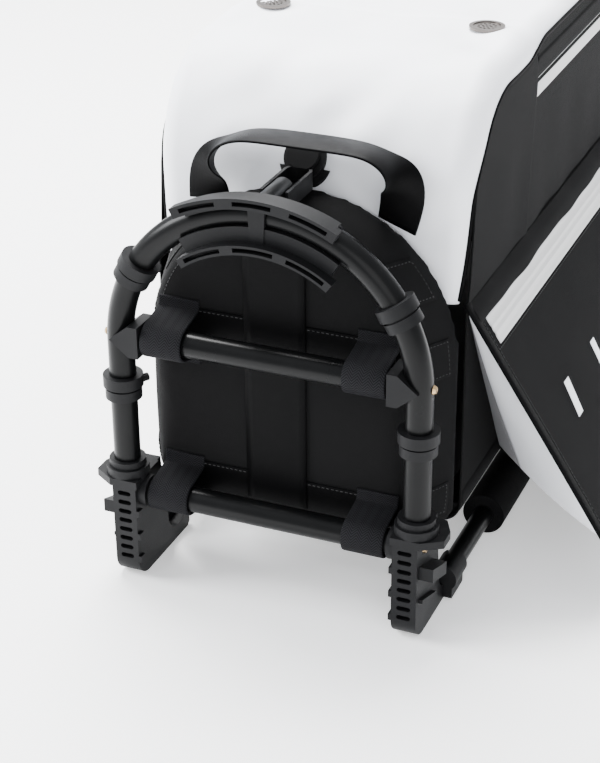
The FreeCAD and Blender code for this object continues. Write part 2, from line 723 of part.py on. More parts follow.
# ---------------------------------------------------------------- side pocket
def pocket_block(inset):
    """Wedge of the pocket, its outer faces moved in by inset; the bag side is never inset."""
    slope = hypot(pocket_tip_x - bag_half_w, pocket_top_z - pocket_tip_z)
    lift = inset * slope / (pocket_tip_x - bag_half_w)
    rise = (pocket_top_z - pocket_tip_z) / (pocket_tip_x - bag_half_w)
    low = pocket_low_z + inset
    tip_x = pocket_tip_x - inset * 1.6
    tip_z = pocket_top_z - lift - rise * (tip_x - bag_half_w)
    y0, y1 = pocket_start_y, frame_length - pocket_start_y
    section = [V(bag_half_w, y0, pocket_top_z - lift), V(tip_x, y0, tip_z),
               V(tip_x - 6, y0, low), V(bag_half_w, y0, low)]
    wedge = prism(section, V(0, y1 - y0, 0))
    return wedge.cut(pocket_end(inset)).cut(mirrored_y(pocket_end(inset)))


def pocket_end(inset):
    """What is cut off the near end, in front of the slanted gusset."""
    reach = 600.0
    top = V(bag_half_w, pocket_start_y, pocket_top_z)
    tip = V(pocket_tip_x, pocket_start_y, pocket_tip_z)
    fold = V(bag_half_w, pocket_start_y + pocket_fold, pocket_tip_z)
    normal = (tip - top).cross(fold - top)
    normal.normalize()
    if normal.y > 0:
        normal = normal * -1
    centre = top - normal * inset
    plate = Part.makePlane(2 * reach, 2 * reach, centre, normal)
    shift = centre - plate.CenterOfMass
    plate.translate(shift)
    return plate.extrude(normal * reach)


def side_pocket():
    """Pocket shell sewn to the right side wall, which closes it on its inner side."""
    shell = pocket_block(0.0).cut(pocket_block(pocket_wall))
    return max(shell.Solids, key=lambda solid: solid.Volume)


def panel_frame():
    """Down-slope direction and outward normal of the pocket's outer panel."""
    down = V(pocket_tip_x - bag_half_w, 0, pocket_tip_z - pocket_top_z)
    down.normalize()
    return down, V(-down.z, 0, down.x)


def on_panel(drop, y, lift):
    """Point on the pocket panel: drop below its top seam and lift off its surface."""
    down, out = panel_frame()
    return V(bag_half_w, y, pocket_top_z) + down * drop + out * lift


def pocket_slab(drop0, drop1, y0, y1, lift0, lift1):
    """Slab lying on the pocket panel."""
    points = [on_panel(drop0, y0, lift0), on_panel(drop1, y0, lift0),
              on_panel(drop1, y0, lift1), on_panel(drop0, y0, lift1)]
    return prism(points, V(0, y1 - y0, 0))


# ---------------------------------------------------------------- zips
def main_zip_tape(z0, z1, near_y):
    """Tape of the main zip, round the sides and the far end, between two heights."""
    band = bag_block(zip_tape_t).cut(bag_block(0.0))
    return band.common(box(-far, far, near_y, far, z0, z1))


def pocket_zip_tape():
    """Tape of the pocket zip, sewn on the outer panel."""
    y0 = pocket_start_y + pocket_zip_margin
    return pocket_slab(pocket_zip_drop, pocket_zip_drop + pocket_zip_w, y0, frame_length - y0,
                       0.0, zip_tape_t)


def zip_slider():
    """Slider with two lugs; runs along Y, stands up along X, on the origin."""
    length, width, height = slider
    lug_len, lug_t, lug_h = slider_lug
    body = box(0, height, -length / 2, length / 2, -width / 2, width / 2)
    body = body.makeFillet(1.5, body.Edges)
    parts = [body]
    for side in (-1, 1):
        z = side * (pull[1] / 2 + 0.4 + lug_t / 4)
        parts.append(box(height - 1, height + lug_h, -lug_len / 2, lug_len / 2,
                         z - lug_t / 4, z + lug_t / 4))
    body = fused(parts)
    pin = rod(pull_pin_r, V(height + lug_h / 2, 0, -far), V(height + lug_h / 2, 0, far))
    pin = pin.common(box(-far, far, -far, far, -pull[1] / 2 - 2.4, pull[1] / 2 + 2.4))
    return fused([body, pin])


def zip_pull():
    """Pull tab on the slider's pin, lying towards +Y."""
    length, width, thickness = pull
    x = slider[2] + slider_lug[2] / 2
    eye_r = pull_pin_r + 1.6
    tab = box(x - thickness / 2, x + thickness / 2, 0, length, -width / 2, width / 2)
    eye = rod(eye_r, V(x, 0, -width / 2), V(x, 0, width / 2))
    hole = rod(pull_pin_r + running_gap, V(x, 0, -far), V(x, 0, far))
    window = box(-far, far, length * 0.55, length * 0.8, -width / 4, width / 4)
    return fused([tab, eye]).cut(hole).cut(window)


def on_side(shape, y):
    """Places a slider or pull on the main zip, on the right side wall."""
    return shape.translated(V(bag_half_w + zip_tape_t + slider_gap, y, lid_split_z))


def on_pocket(shape, y):
    """Places a slider or pull on the pocket zip."""
    down, out = panel_frame()
    turned = shape.copy()
    angle = degrees(atan2(out.z, out.x))
    turned.rotate(V(0, 0, 0), Y_AXIS, -angle)
    turned.translate(on_panel(pocket_zip_drop + pocket_zip_w / 2, y, zip_tape_t + slider_gap))
    return turned


# ---------------------------------------------------------------- webbing and trim
def bar_loop(x, z):
    """Webbing loop round the near crossbar, sewn to the face of the cap."""
    def drop(r, back_h, back_y, start_x, width):
        back = V(start_x, back_y, z + back_h)
        reach = hypot(back_y, back_h)
        angle = atan2(back_h, back_y) + acos(r / reach)
        touch = V(start_x, r * cos(angle), z + r * sin(angle))
        low_touch = V(start_x, touch.y, 2 * z - touch.z)
        low_back = V(start_x, back_y, z - back_h)
        face = outline([(back, touch), (touch, V(start_x, -r, z), low_touch),
                        (low_touch, low_back), (low_back, back)])
        return face.extrude(V(width, 0, 0))
    x0 = x - loop_w / 2
    outer = drop(loop_inner_r + loop_t, loop_half_h, cap_face_y - cloth_gap, x0, loop_w)
    inner = drop(loop_inner_r, loop_half_h - loop_t - 1, cap_face_y - cloth_gap - loop_t, x0 - 1,
                 loop_w + 2)
    return outer.cut(inner)


def crossbar_loops():
    """The four loops of the near end."""
    return Part.makeCompound([bar_loop(side * loop_x, z) for z in (upper_bar_z, lower_bar_z)
                              for side in (-1, 1)])


def strap_outline(wrap_r, cap_y, cap_z):
    """Edge of an arch loop seen from the side: round the tube from its top, then straight to the cap."""
    drop = cap_z - arch_r
    touch_angle = atan2(drop, cap_y) + acos(wrap_r / hypot(cap_y, drop))
    def on_wrap(angle):
        return V(0, wrap_r * cos(angle), spring_z + arch_r + wrap_r * sin(angle))
    start_angle = acos(1.0 / wrap_r)
    touch = on_wrap(touch_angle)
    return [(on_wrap(start_angle), on_wrap((start_angle + touch_angle) / 2), touch),
            (touch, V(0, cap_y, spring_z + cap_z))]


def arch_loops():
    """Two straps from the top of the cap over the arch tube, clamped under the bumper."""
    straps = []
    cap_y = cap_face_y - cloth_gap
    cap_top = cap_face_half_w + loop_t
    outer = strap_outline(tube_r + cloth_gap + loop_t, cap_y, cap_top)
    inner = strap_outline(tube_r + cloth_gap, cap_y, cap_top - 2 * loop_t)
    inner_back = [(inner[1][1], inner[1][0]), (inner[0][2], inner[0][1], inner[0][0])]
    face = outline(outer + [(outer[1][1], inner[1][1])] + inner_back + [(inner[0][0], outer[0][0])])
    start, end = arch_loop_angles
    for side in (-1, 1):
        strap = face.revolve(V(0, 0, spring_z), Y_AXIS, side * (end - start))
        strap.rotate(V(0, 0, spring_z), Y_AXIS, side * start)
        straps.append(strap)
    return Part.makeCompound(straps)


def handle_sections():
    """Rectangular sections of the handle from its left seam to its right seam.

    The seams lie along the arch of the cap; towards the top the webbing turns until it lies
    flat along Y.
    """
    count = 12
    base_angle = atan2(handle_base_z - cap_back_spring_z, handle_base_x)
    wires = []
    for index in range(count + 1):
        side = 2 * index / count - 1
        sign = 1 if side > 0 else -1
        height = 1 - abs(side) ** 3.2
        centre = V(handle_base_x * side + 24 * sin(pi * side) * (1 - abs(side))
                   + handle_lean_x * height,
                   handle_base_y + (handle_top_y - handle_base_y) * height,
                   handle_base_z + (handle_top_z - handle_base_z) * height)
        twist = abs(side) ** 2.5
        width = V(sin(base_angle), 0, -cos(base_angle) * sign) * (twist * sign)
        width = width + Y_AXIS * (1 - twist)
        width.normalize()
        course = V(1.15 - twist, 0, -sign * side ** 2)
        normal = width.cross(course)
        normal.normalize()
        wide = width * (handle_w / 2)
        thick = normal * (handle_t / 2)
        corners = [centre - wide - thick, centre + wide - thick, centre + wide + thick,
                   centre - wide + thick]
        wires.append(Part.makePolygon(corners + [corners[0]]))
    return wires


def grab_handle():
    """Stiff webbing handle that stands up from the top of the cap."""
    return Part.makeLoft(handle_sections(), True, True)


def vents():
    """The two round eyelets with their holes, in the white panel."""
    discs = []
    for side in (-1, 1):
        centre = V(side * vent_x, vent_y, bag_top_z + cloth_gap / 3)
        disc = rod(vent_r, centre, centre + Z_AXIS * vent_t)
        disc = disc.cut(rod(vent_r - 4, centre + Z_AXIS * (vent_t * 0.6), centre + Z_AXIS * far))
        for ring, count in ((0.0, 1), (4.2, 6), (8.4, 12)):
            for index in range(count):
                angle = 2 * pi * index / count
                spot = centre + V(ring * cos(angle), ring * sin(angle), -1)
                disc = disc.cut(rod(1.3, spot, spot + Z_AXIS * 10))
        discs.append(disc)
    return Part.makeCompound(discs)


# ---------------------------------------------------------------- anchor
def anchor_stub():
    """Round stub that stands back from the top of the near arch."""
    stub = rod(stub_r, V(0, 2, anchor_z), V(0, stub_end_y, anchor_z))
    stub = stub.cut(u_bar(tube_r + press_gap, 0.0))
    return max(stub.Solids, key=lambda solid: solid.Volume)


def anchor_bracket():
    """Channel with a round nose that carries the pull from the stub to the bag."""
    w = bracket_half_w
    z0 = anchor_z - stub_r - 3
    z1 = anchor_z + 5
    def trough(inset, low):
        end = bracket_end_y
        face = outline([
            (V(-w + inset, bracket_start_y, low), V(-w + inset, end - w, low)),
            (V(-w + inset, end - w, low), V(0, end - inset, low), V(w - inset, end - w, low)),
            (V(w - inset, end - w, low), V(w - inset, bracket_start_y, low)),
            (V(w - inset, bracket_start_y, low), V(-w + inset, bracket_start_y, low))])
        return face.extrude(V(0, 0, far))
    room = box(-far, far, -far, far, z0, z1)
    body = trough(0.0, z0).common(room).cut(trough(3.0, z0 + 3))
    body = body.cut(rod(stub_r + press_gap, V(0, -far, anchor_z), V(0, stub_end_y, anchor_z)))
    boss = rod(4, V(0, stub_end_y + 8, z0 + 1), V(0, stub_end_y + 8, anchor_z + 2))
    return fused([max(body.Solids, key=lambda solid: solid.Volume), boss])


def anchor_boot():
    """Stepped round boot that seals the anchor against the white panel."""
    tilt = radians(boot_tilt)
    out = V(0, -cos(tilt), sin(tilt))
    foot_point = V(0, bag_start_y + 14, anchor_z + 4)
    disc = fused([rod(boot_r, foot_point - out * 30, foot_point + out * boot_h),
                  rod(boot_r - 6, foot_point, foot_point + out * (boot_h + 6)),
                  rod(boot_r - 12, foot_point, foot_point + out * (boot_h + 12))])
    disc = disc.cut(bag_block(cloth_gap))
    disc = max(disc.Solids, key=lambda solid: solid.CenterOfMass.dot(out))
    disc = disc.cut(cap_block(cloth_gap, cap_face_y))
    disc = max(disc.Solids, key=lambda solid: solid.Volume)
    return disc.cut(trough_room())


def trough_room():
    """Room for the nose of the channel inside the boot."""
    w = bracket_half_w + press_gap
    nose = rod(w, V(0, bracket_end_y - w, anchor_z - stub_r - 3 - press_gap),
               V(0, bracket_end_y - w, anchor_z + 5 + press_gap))
    tail = box(-w, w, 0, bracket_end_y - w, anchor_z - stub_r - 3 - press_gap,
               anchor_z + 5 + press_gap)
    return fused([nose, tail])


def anchor_plate():
    """Backing plate inside the bag, behind the boot."""
    tilt = radians(boot_tilt)
    out = V(0, -cos(tilt), sin(tilt))
    foot_point = V(0, bag_start_y + 14, anchor_z + 4)
    disc = rod(boot_r - 3, foot_point - out * 60, foot_point)
    inner = bag_block(-bag_wall - cloth_gap)
    return disc.common(inner).cut(bag_block(-bag_wall - 3 - cloth_gap))


# ---------------------------------------------------------------- assembly
def all_parts():
    """Every piece by node name, in the chassis' own coordinates."""
    parts = {}
    for end, y in (("front", 0.0), ("rear", frame_length)):
        parts[end + "_arch_tube"] = arch_tube(y)
        parts[end + "_upper_crossbar"] = upper_crossbar(y)
        parts[end + "_lower_crossbar"] = lower_crossbar(y)
    parts["front_saddle_right"] = saddle(0.0)
    parts["front_saddle_left"] = mirrored_x(saddle(0.0))
    parts["rear_saddles"] = Part.makeCompound([saddle(frame_length),
                                               mirrored_x(saddle(frame_length))])
    for word, shape in collars(0.0, 1).items():
        parts["front_collar_" + word] = shape
    parts["rear_collars"] = Part.makeCompound(list(collars(frame_length, -1).values()))
    parts["front_bumper"] = bumper(0.0)
    parts["frame_screws"] = frame_screws()
    right_side = {"foot": foot(), "rail": rail(), "rail_sleeve": rail_sleeve(),
                  "wheel_bracket": wheel_bracket(), "wheel_tyre": wheel_tyre(),
                  "wheel_hub": wheel_hub(), "wheel_bearings": wheel_bearings(),
                  "wheel_axle": wheel_axle()}
    for name, shape in right_side.items():
        parts[name + "_right"] = shape
        parts[name + "_left"] = mirrored_x(shape)
    skin = bag_skin()
    parts["bag_side_right"] = side_wall(skin)
    parts["bag_side_left"] = mirrored_x(parts["bag_side_right"])
    parts["bag_floor"] = bag_floor(skin)
    parts["bag_lower_ends"] = bag_lower_ends(skin)
    parts["bag_end_panel"] = end_panel(skin)
    parts["bag_far_panel"] = far_panel(skin)
    parts["bag_lid"] = lid(skin)
    parts["base_board"] = base_board()
    parts["front_cap"] = front_cap()
    parts["rear_cap"] = mirrored_y(parts["front_cap"])
    parts["side_pocket"] = side_pocket()
    near_y = lid_hinge_y + zip_start_margin
    parts["main_zip_tape_lower"] = main_zip_tape(lid_split_z - zip_tape_w / 2, lid_split_z, near_y)
    parts["main_zip_tape_upper"] = main_zip_tape(lid_split_z + 2 * moving_gap,
                                                 lid_split_z + zip_tape_w / 2, near_y)
    parts["pocket_zip_tape"] = pocket_zip_tape()
    parts["main_zip_slider"] = on_side(zip_slider(), main_slider_y)
    parts["main_zip_pull"] = on_side(zip_pull(), main_slider_y)
    parts["pocket_zip_slider"] = on_pocket(zip_slider(), pocket_slider_y)
    parts["pocket_zip_pull"] = on_pocket(zip_pull(), pocket_slider_y)
    parts["front_bar_loops"] = crossbar_loops()
    parts["rear_bar_loops"] = mirrored_y(parts["front_bar_loops"])
    parts["arch_loops"] = arch_loops()
    parts["grab_handle"] = grab_handle()
    parts["lid_vents"] = vents()
    parts["anchor_stub"] = anchor_stub()
    parts["anchor_bracket"] = anchor_bracket()
    parts["anchor_boot"] = anchor_boot()
    parts["anchor_plate"] = anchor_plate()
    return parts


parts = all_parts()
bounds = FreeCAD.BoundBox()
for shape in parts.values():
    bounds.add(shape.optimalBoundingBox(False, False))
shift = V(-bounds.Center.x, -bounds.Center.y, -bounds.ZMin)

os.makedirs("parts", exist_ok=True)
for name, shape in parts.items():
    shape.translate(shift)
    shape.exportStep("parts/" + name + ".step")
    print(name, len(shape.Solids), shape.isValid(), round(shape.Volume / 1000, 1), "cm3")
print(len(parts), "pieces; size", round(bounds.XLength, 1), round(bounds.YLength, 1),
      round(bounds.ZLength, 1), "; moved by", shift)
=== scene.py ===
# %% [markdown]
# # A wheeled skate bag on a tube chassis
#
# The chassis, feet, wheels, clips and sliders come from the CAD model and keep their shapes.  What is
# sewn is made here: the skin of the bag, its padded ends, the side pocket, the zips, the webbing and
# the stitching.  Lengths are in millimetres from the foot of the near arch, as they would be on a
# pattern table: X across the bag, Y from the standing end to the wheels, Z up.

# %% Load the frame
import json
import math

import bpy
import numpy as np
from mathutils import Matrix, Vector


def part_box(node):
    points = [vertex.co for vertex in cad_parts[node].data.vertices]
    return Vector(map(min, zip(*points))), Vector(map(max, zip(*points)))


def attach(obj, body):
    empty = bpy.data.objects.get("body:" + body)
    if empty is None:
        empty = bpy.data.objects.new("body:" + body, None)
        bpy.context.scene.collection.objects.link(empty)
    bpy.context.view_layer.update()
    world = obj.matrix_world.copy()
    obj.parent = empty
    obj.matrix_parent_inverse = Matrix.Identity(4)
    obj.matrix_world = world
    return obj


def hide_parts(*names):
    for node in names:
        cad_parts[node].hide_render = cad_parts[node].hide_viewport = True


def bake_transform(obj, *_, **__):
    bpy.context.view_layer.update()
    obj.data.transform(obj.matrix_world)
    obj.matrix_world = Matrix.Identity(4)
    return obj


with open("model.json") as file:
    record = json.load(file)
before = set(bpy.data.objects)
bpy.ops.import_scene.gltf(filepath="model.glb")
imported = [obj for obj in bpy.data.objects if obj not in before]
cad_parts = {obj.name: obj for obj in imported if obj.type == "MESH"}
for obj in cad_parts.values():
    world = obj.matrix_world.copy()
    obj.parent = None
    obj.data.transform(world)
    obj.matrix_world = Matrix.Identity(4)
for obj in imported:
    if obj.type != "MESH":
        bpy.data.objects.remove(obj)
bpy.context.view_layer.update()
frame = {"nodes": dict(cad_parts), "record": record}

# %% [markdown]
# ## Where things are
#
# The fixed parts say where everything goes.  The near arch tube gives the origin and the leg spacing,
# and the CAD panels give the size of the bag, so the sewn pieces need no numbers for those.

# %% Measures taken from the frame
MM = 0.001
arch_low, arch_high = (np.array(corner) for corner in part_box("front_arch_tube"))
ARCH_FOOT = np.array([(arch_low[0] + arch_high[0]) / 2, (arch_low[1] + arch_high[1]) / 2, 0.0])


def place(points):
    """Millimetres from the foot of the near arch to metres in the frame: point / 1000 + foot."""
    return np.asarray(points, float) * MM + ARCH_FOOT


def span(node):
    """Lowest and highest corner of a CAD node, in millimetres from the foot of the near arch."""
    return tuple((np.array(corner) - ARCH_FOOT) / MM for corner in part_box(node))


tube_r = (arch_high[1] - arch_low[1]) / 2 / MM
half = (arch_high[0] - arch_low[0]) / 2 / MM - tube_r
far_arch_y = (span("rear_arch_tube")[0][1] + span("rear_arch_tube")[1][1]) / 2
bar_z = [(span(node)[0][2] + span(node)[1][2]) / 2
         for node in ("front_upper_crossbar", "front_lower_crossbar")]
side_low, side_high = span("bag_side_right")
bag_half, bag_y0, bag_y1 = side_high[0], side_low[1], side_high[1]
bag_low, bag_top = span("bag_floor")[0][2], span("bag_lid")[1][2]
cap_y0, cap_y1 = span("front_cap")[0][1], span("front_cap")[1][1]
fold_y = span("bag_end_panel")[1][1]
split_z = span("main_zip_tape_lower")[1][2]
spring_z = span("front_arch_tube")[1][2] - tube_r - half
print("legs", round(2 * half), "apart; bag", round(2 * bag_half), "x", round(bag_y1 - bag_y0),
      "x", round(bag_top - bag_low), "mm")

# %% [markdown]
# ## Helpers for surfaces
#
# Each sewn piece is a grid of points, worked out as whole arrays.  A grid becomes quads, keeps a UV
# map in metres along the cloth, so that a weave has its true size, and gets its thickness from a
# Solidify modifier.  Bands and cords are a small section carried along a path.

# %% Meshes from arrays
def grid_faces(rows, columns, start=0):
    """Quads between neighbouring points of a grid that is stored row by row."""
    i, j = np.meshgrid(np.arange(rows - 1), np.arange(columns - 1), indexing="ij")
    corner = (start + i * columns + j).ravel()
    return np.stack([corner, corner + 1, corner + columns + 1, corner + columns], axis=1)


def make_object(name, points, faces, uv=None):
    """Object from points in millimetres, lists of faces, and one cloth position per point."""
    mesh = bpy.data.meshes.new(name)
    mesh.from_pydata(place(points).tolist(), [], [list(map(int, face)) for face in faces])
    if uv is not None:
        corner = np.empty(len(mesh.loops), np.int32)
        mesh.loops.foreach_get("vertex_index", corner)
        layer = mesh.uv_layers.new(name="cloth")
        layer.data.foreach_set("uv", (np.asarray(uv, float)[corner] * MM).astype(np.float32).ravel())
    mesh.shade_smooth()
    piece = bpy.data.objects.new(name, mesh)
    bpy.context.scene.collection.objects.link(piece)
    return piece


def applied(piece):
    """Makes what the modifiers give the piece's own mesh."""
    graph = bpy.context.evaluated_depsgraph_get()
    done = bpy.data.meshes.new_from_object(piece.evaluated_get(graph),
                                           preserve_all_data_layers=True, depsgraph=graph)
    piece.modifiers.clear()
    piece.data = done
    return piece


def solid(piece, thickness, rounds=0, inward=True):
    """Gives a sheet its thickness in millimetres, then rounds it by subdivision."""
    wall = piece.modifiers.new("thickness", "SOLIDIFY")
    wall.thickness = thickness * MM
    wall.offset = -1.0 if inward else 1.0
    wall.use_even_offset = True
    if rounds:
        smooth = piece.modifiers.new("rounding", "SUBSURF")
        smooth.levels = smooth.render_levels = rounds
    return applied(piece)


def lengths_along(points):
    """Distance from the first point of a path to each of its points."""
    steps = np.linalg.norm(np.diff(points, axis=0), axis=1)
    return np.concatenate([[0.0], np.cumsum(steps)])


def evenly(points, count):
    """The same path with count points at equal distances along it."""
    points = np.asarray(points, float)
    along = lengths_along(points)
    wanted = np.linspace(0.0, along[-1], count)
    return np.stack([np.interp(wanted, along, points[:, k]) for k in range(points.shape[1])], axis=1)


def unit(vectors):
    """Vectors divided by their lengths."""
    return vectors / np.linalg.norm(vectors, axis=-1, keepdims=True)


def flat_cut(grid):
    """Cloth position (u, v) of each grid point: the mean length along the rows and the columns."""
    down = np.linalg.norm(np.diff(grid, axis=0), axis=2).mean(axis=1)
    across = np.linalg.norm(np.diff(grid, axis=1), axis=2).mean(axis=0)
    v = np.concatenate([[0.0], np.cumsum(down)])[:, None]
    u = np.concatenate([[0.0], np.cumsum(across)])[None, :]
    return np.stack(np.broadcast_arrays(u, v), axis=2).reshape(-1, 2)


def cloth_grid(name, grid, thickness=1.2, rounds=0, flip=False):
    """Sheet from a grid of points, with its cloth positions as UV and its thickness put inwards."""
    grid = np.asarray(grid, float)
    faces = grid_faces(*grid.shape[:2])
    if flip:
        faces = faces[:, ::-1]
    piece = make_object(name, grid.reshape(-1, 3), faces, flat_cut(grid))
    return solid(piece, thickness, rounds)


def carried(name, path, across, up, section):
    """Closed section carried along a path: point = path + across * a + up * b for each (a, b)."""
    path, across, up = (np.asarray(a, float) for a in (path, across, up))
    section = np.asarray(section, float)
    loop = np.concatenate([section, section[:1]])
    grid = (path[:, None] + across[:, None] * loop[None, :, :1] + up[:, None] * loop[None, :, 1:])
    rows, columns = grid.shape[:2]
    u = np.repeat(lengths_along(path)[:, None], columns, axis=1)
    v = np.repeat(lengths_along(loop)[None, :], rows, axis=0)
    faces = list(grid_faces(rows, columns)[:, ::-1])
    first, last = np.arange(columns - 1), (rows - 1) * columns + np.arange(columns - 1)
    faces += [first, last[::-1]]
    piece = make_object(name, grid.reshape(-1, 3), faces, np.stack([u, v], axis=2).reshape(-1, 2))
    weld = piece.modifiers.new("seam", "WELD")
    weld.merge_threshold = 0.01 * MM
    return applied(piece)


def flat_section(width, thickness, points_per_end=4):
    """Section of webbing: two flat faces joined by rounded edges."""
    r = thickness / 2
    turn = np.linspace(-math.pi / 2, math.pi / 2, points_per_end)
    right = np.stack([width / 2 - r + r * np.cos(turn), r * np.sin(turn)], axis=1)
    return np.concatenate([right, -right])


def round_section(radius, sides=10):
    """Section of a cord."""
    turn = np.arange(sides) * 2 * math.pi / sides
    return np.stack([radius * np.cos(turn), radius * np.sin(turn)], axis=1)


def courses(path):
    """Unit direction of a path at each of its points."""
    return unit(np.gradient(np.asarray(path, float), axis=0))


def cord_along(name, path, up, radius):
    """Round cord along a path that lies on a surface whose outward direction is up."""
    up = unit(np.asarray(up, float) + np.zeros((len(path), 3)))
    across = unit(np.cross(courses(path), up))
    return carried(name, path, across, np.cross(across, courses(path)), round_section(radius))


def mirrored(piece, name, axis, centre):
    """Copy on the other side of the plane axis = centre, with its faces turned back outwards."""
    mesh = piece.data.copy()
    flat = np.empty(len(mesh.vertices) * 3, np.float32)
    mesh.vertices.foreach_get("co", flat)
    points = flat.reshape(-1, 3)
    points[:, axis] = 2 * (centre * MM + ARCH_FOOT[axis]) - points[:, axis]
    mesh.vertices.foreach_set("co", points.ravel())
    mesh.flip_normals()
    copy = bpy.data.objects.new(name, mesh)
    bpy.context.scene.collection.objects.link(copy)
    return copy


def joined(name, pieces):
    """Several pieces as one object."""
    with bpy.context.temp_override(active_object=pieces[0], selected_editable_objects=pieces):
        bpy.ops.object.join()
    pieces[0].name = name
    return pieces[0]


print("surface helpers ready")

# %% [markdown]
# ## Shader maths
#
# A pattern such as a weave is a formula in the cloth's own coordinates.  Signal wraps a node socket,
# so the formula is written as plain sums; Finish holds one material and has a single method that
# makes any node.

# %% Signals and finishes
class Signal:
    """A node socket in a formula: each operator adds one Math node."""

    def __init__(self, finish, socket):
        self.finish, self.socket = finish, socket

    def __add__(self, other): return self.finish.maths("ADD", self, other)
    def __radd__(self, other): return self.finish.maths("ADD", other, self)
    def __sub__(self, other): return self.finish.maths("SUBTRACT", self, other)
    def __rsub__(self, other): return self.finish.maths("SUBTRACT", other, self)
    def __mul__(self, other): return self.finish.maths("MULTIPLY", self, other)
    def __rmul__(self, other): return self.finish.maths("MULTIPLY", other, self)
    def __truediv__(self, other): return self.finish.maths("DIVIDE", self, other)
    def __rtruediv__(self, other): return self.finish.maths("DIVIDE", other, self)
    def __pow__(self, other): return self.finish.maths("POWER", self, other)
    def __mod__(self, other): return self.finish.maths("FLOORED_MODULO", self, other)
    def __gt__(self, other): return self.finish.maths("GREATER_THAN", self, other)
    def __abs__(self): return self.finish.maths("ABSOLUTE", self)
    def floor(self): return self.finish.maths("FLOOR", self)
    def sine(self): return self.finish.maths("SINE", self)


class Finish:
    """One material: a Principled shader, its constant values, and what is fed into it."""

    def __init__(self, name, colour, roughness, **fixed):
        self.material = bpy.data.materials.new(name)
        self.material.use_nodes = True
        self.tree = self.material.node_tree
        self.shader = self.tree.nodes["Principled BSDF"]
        self.set(Base_Color=(*colour, 1.0), Roughness=roughness, **fixed)
        self.material.diffuse_color = (*colour, 1.0)

    def set(self, **sockets):
        """Constant values on the shader's own sockets; an underscore stands for a space."""
        for name, value in sockets.items():
            self.shader.inputs[name.replace("_", " ")].default_value = value

    def node(self, kind, settings=None, sockets=None, output=0):
        """Node of a type: settings first, then the values or links of its sockets."""
        made = self.tree.nodes.new(kind)
        for name, value in (settings or {}).items():
            if name == "stops":
                ramp = made.color_ramp.elements
                while len(ramp) < len(value):
                    ramp.new(0.5)
                for stop, (position, colour) in zip(ramp, value):
                    stop.position, stop.color = position, (*colour, 1.0)
            else:
                setattr(made, name, value)
        for name, value in (sockets or {}).items():
            if isinstance(value, Signal):
                self.tree.links.new(value.socket, made.inputs[name])
            else:
                made.inputs[name].default_value = value
        return Signal(self, made.outputs[output])

    def maths(self, operation, *values):
        return self.node("ShaderNodeMath", {"operation": operation}, dict(enumerate(values)))

    def place(self):
        """Object coordinates, in metres."""
        return self.node("ShaderNodeTexCoord", output=3)

    def cloth(self):
        """The piece's own UV, in metres along the cloth, as two signals."""
        where = self.node("ShaderNodeUVMap", {"uv_map": "cloth"})
        return self.parts(where)[:2]

    def parts(self, vector):
        """The three parts of a vector as signals."""
        split = self.node("ShaderNodeSeparateXYZ", sockets={0: vector})
        return [Signal(self, out) for out in split.socket.node.outputs]

    def noise(self, size, detail=2.0, where=None):
        """Smooth noise from 0 to 1 whose lumps are about size millimetres across."""
        return self.node("ShaderNodeTexNoise", sockets={
            "Vector": where or self.place(), "Scale": 1000.0 / size, "Detail": detail})

    def mix(self, factor, low, high):
        """Colour between two colours."""
        return self.node("ShaderNodeMix", {"data_type": "RGBA"},
                         {0: factor, 6: (*low, 1.0) if isinstance(low, tuple) else low,
                          7: (*high, 1.0) if isinstance(high, tuple) else high}, output=2)

    def feed(self, name, signal):
        """Links a signal into one of the shader's sockets."""
        self.tree.links.new(signal.socket, self.shader.inputs[name])

    def bump(self, height, depth, below=None):
        """Bump of a height from 0 to 1, depth millimetres deep, on top of another bump."""
        sockets = {"Height": height, "Distance": depth * MM, "Strength": 1.0}
        if below is not None:
            sockets["Normal"] = below
        return self.node("ShaderNodeBump", sockets=sockets)


def plain_weave(finish, u, v, pitch):
    """Height of a plain weave: warp and weft take turns on top, each a half sine wide."""
    a, b = u / (pitch * MM), v / (pitch * MM)
    turn = (a.floor() + b.floor()) % 2.0
    warp, weft = abs((a * math.pi).sine()), abs((b * math.pi).sine())
    return turn * warp + (1.0 - turn) * weft


def herringbone(finish, u, v, rib, column):
    """Height of a herringbone: slanted ribs whose slant turns over from one column to the next."""
    fold = abs((v / (column * MM)) % 2.0 - 1.0)
    wave = u / (rib * MM) + fold * (column / rib)
    return abs((wave * math.pi).sine())


print("shader helpers ready")

# %% [markdown]
# ## Finishes of the hard parts
#
# The tubes are powder coated: nearly black, satin, with the faint orange peel that the powder leaves.
# The clips and feet are moulded with a fine spark-eroded grain.  Rubber and foam are matt.  Edges
# that get handled are a little smoother, so a wide soft noise moves the roughness.

# %% Hard finishes
def grained(name, colour, roughness, grain, depth, spread=0.08, **fixed):
    """Finish with a fine grain in its bump, and roughness that drifts slowly over the part."""
    finish = Finish(name, colour, roughness, **fixed)
    drift = finish.noise(60.0, 3.0)
    finish.feed("Roughness", drift * (2 * spread) + (roughness - spread))
    dust = finish.noise(25.0, 4.0)
    pale = tuple(min(1.0, part * 1.35 + 0.0012) for part in colour)
    finish.feed("Base Color", finish.mix(dust, colour, pale))
    finish.feed("Normal", finish.bump(finish.noise(grain, 3.0), depth))
    return finish.material


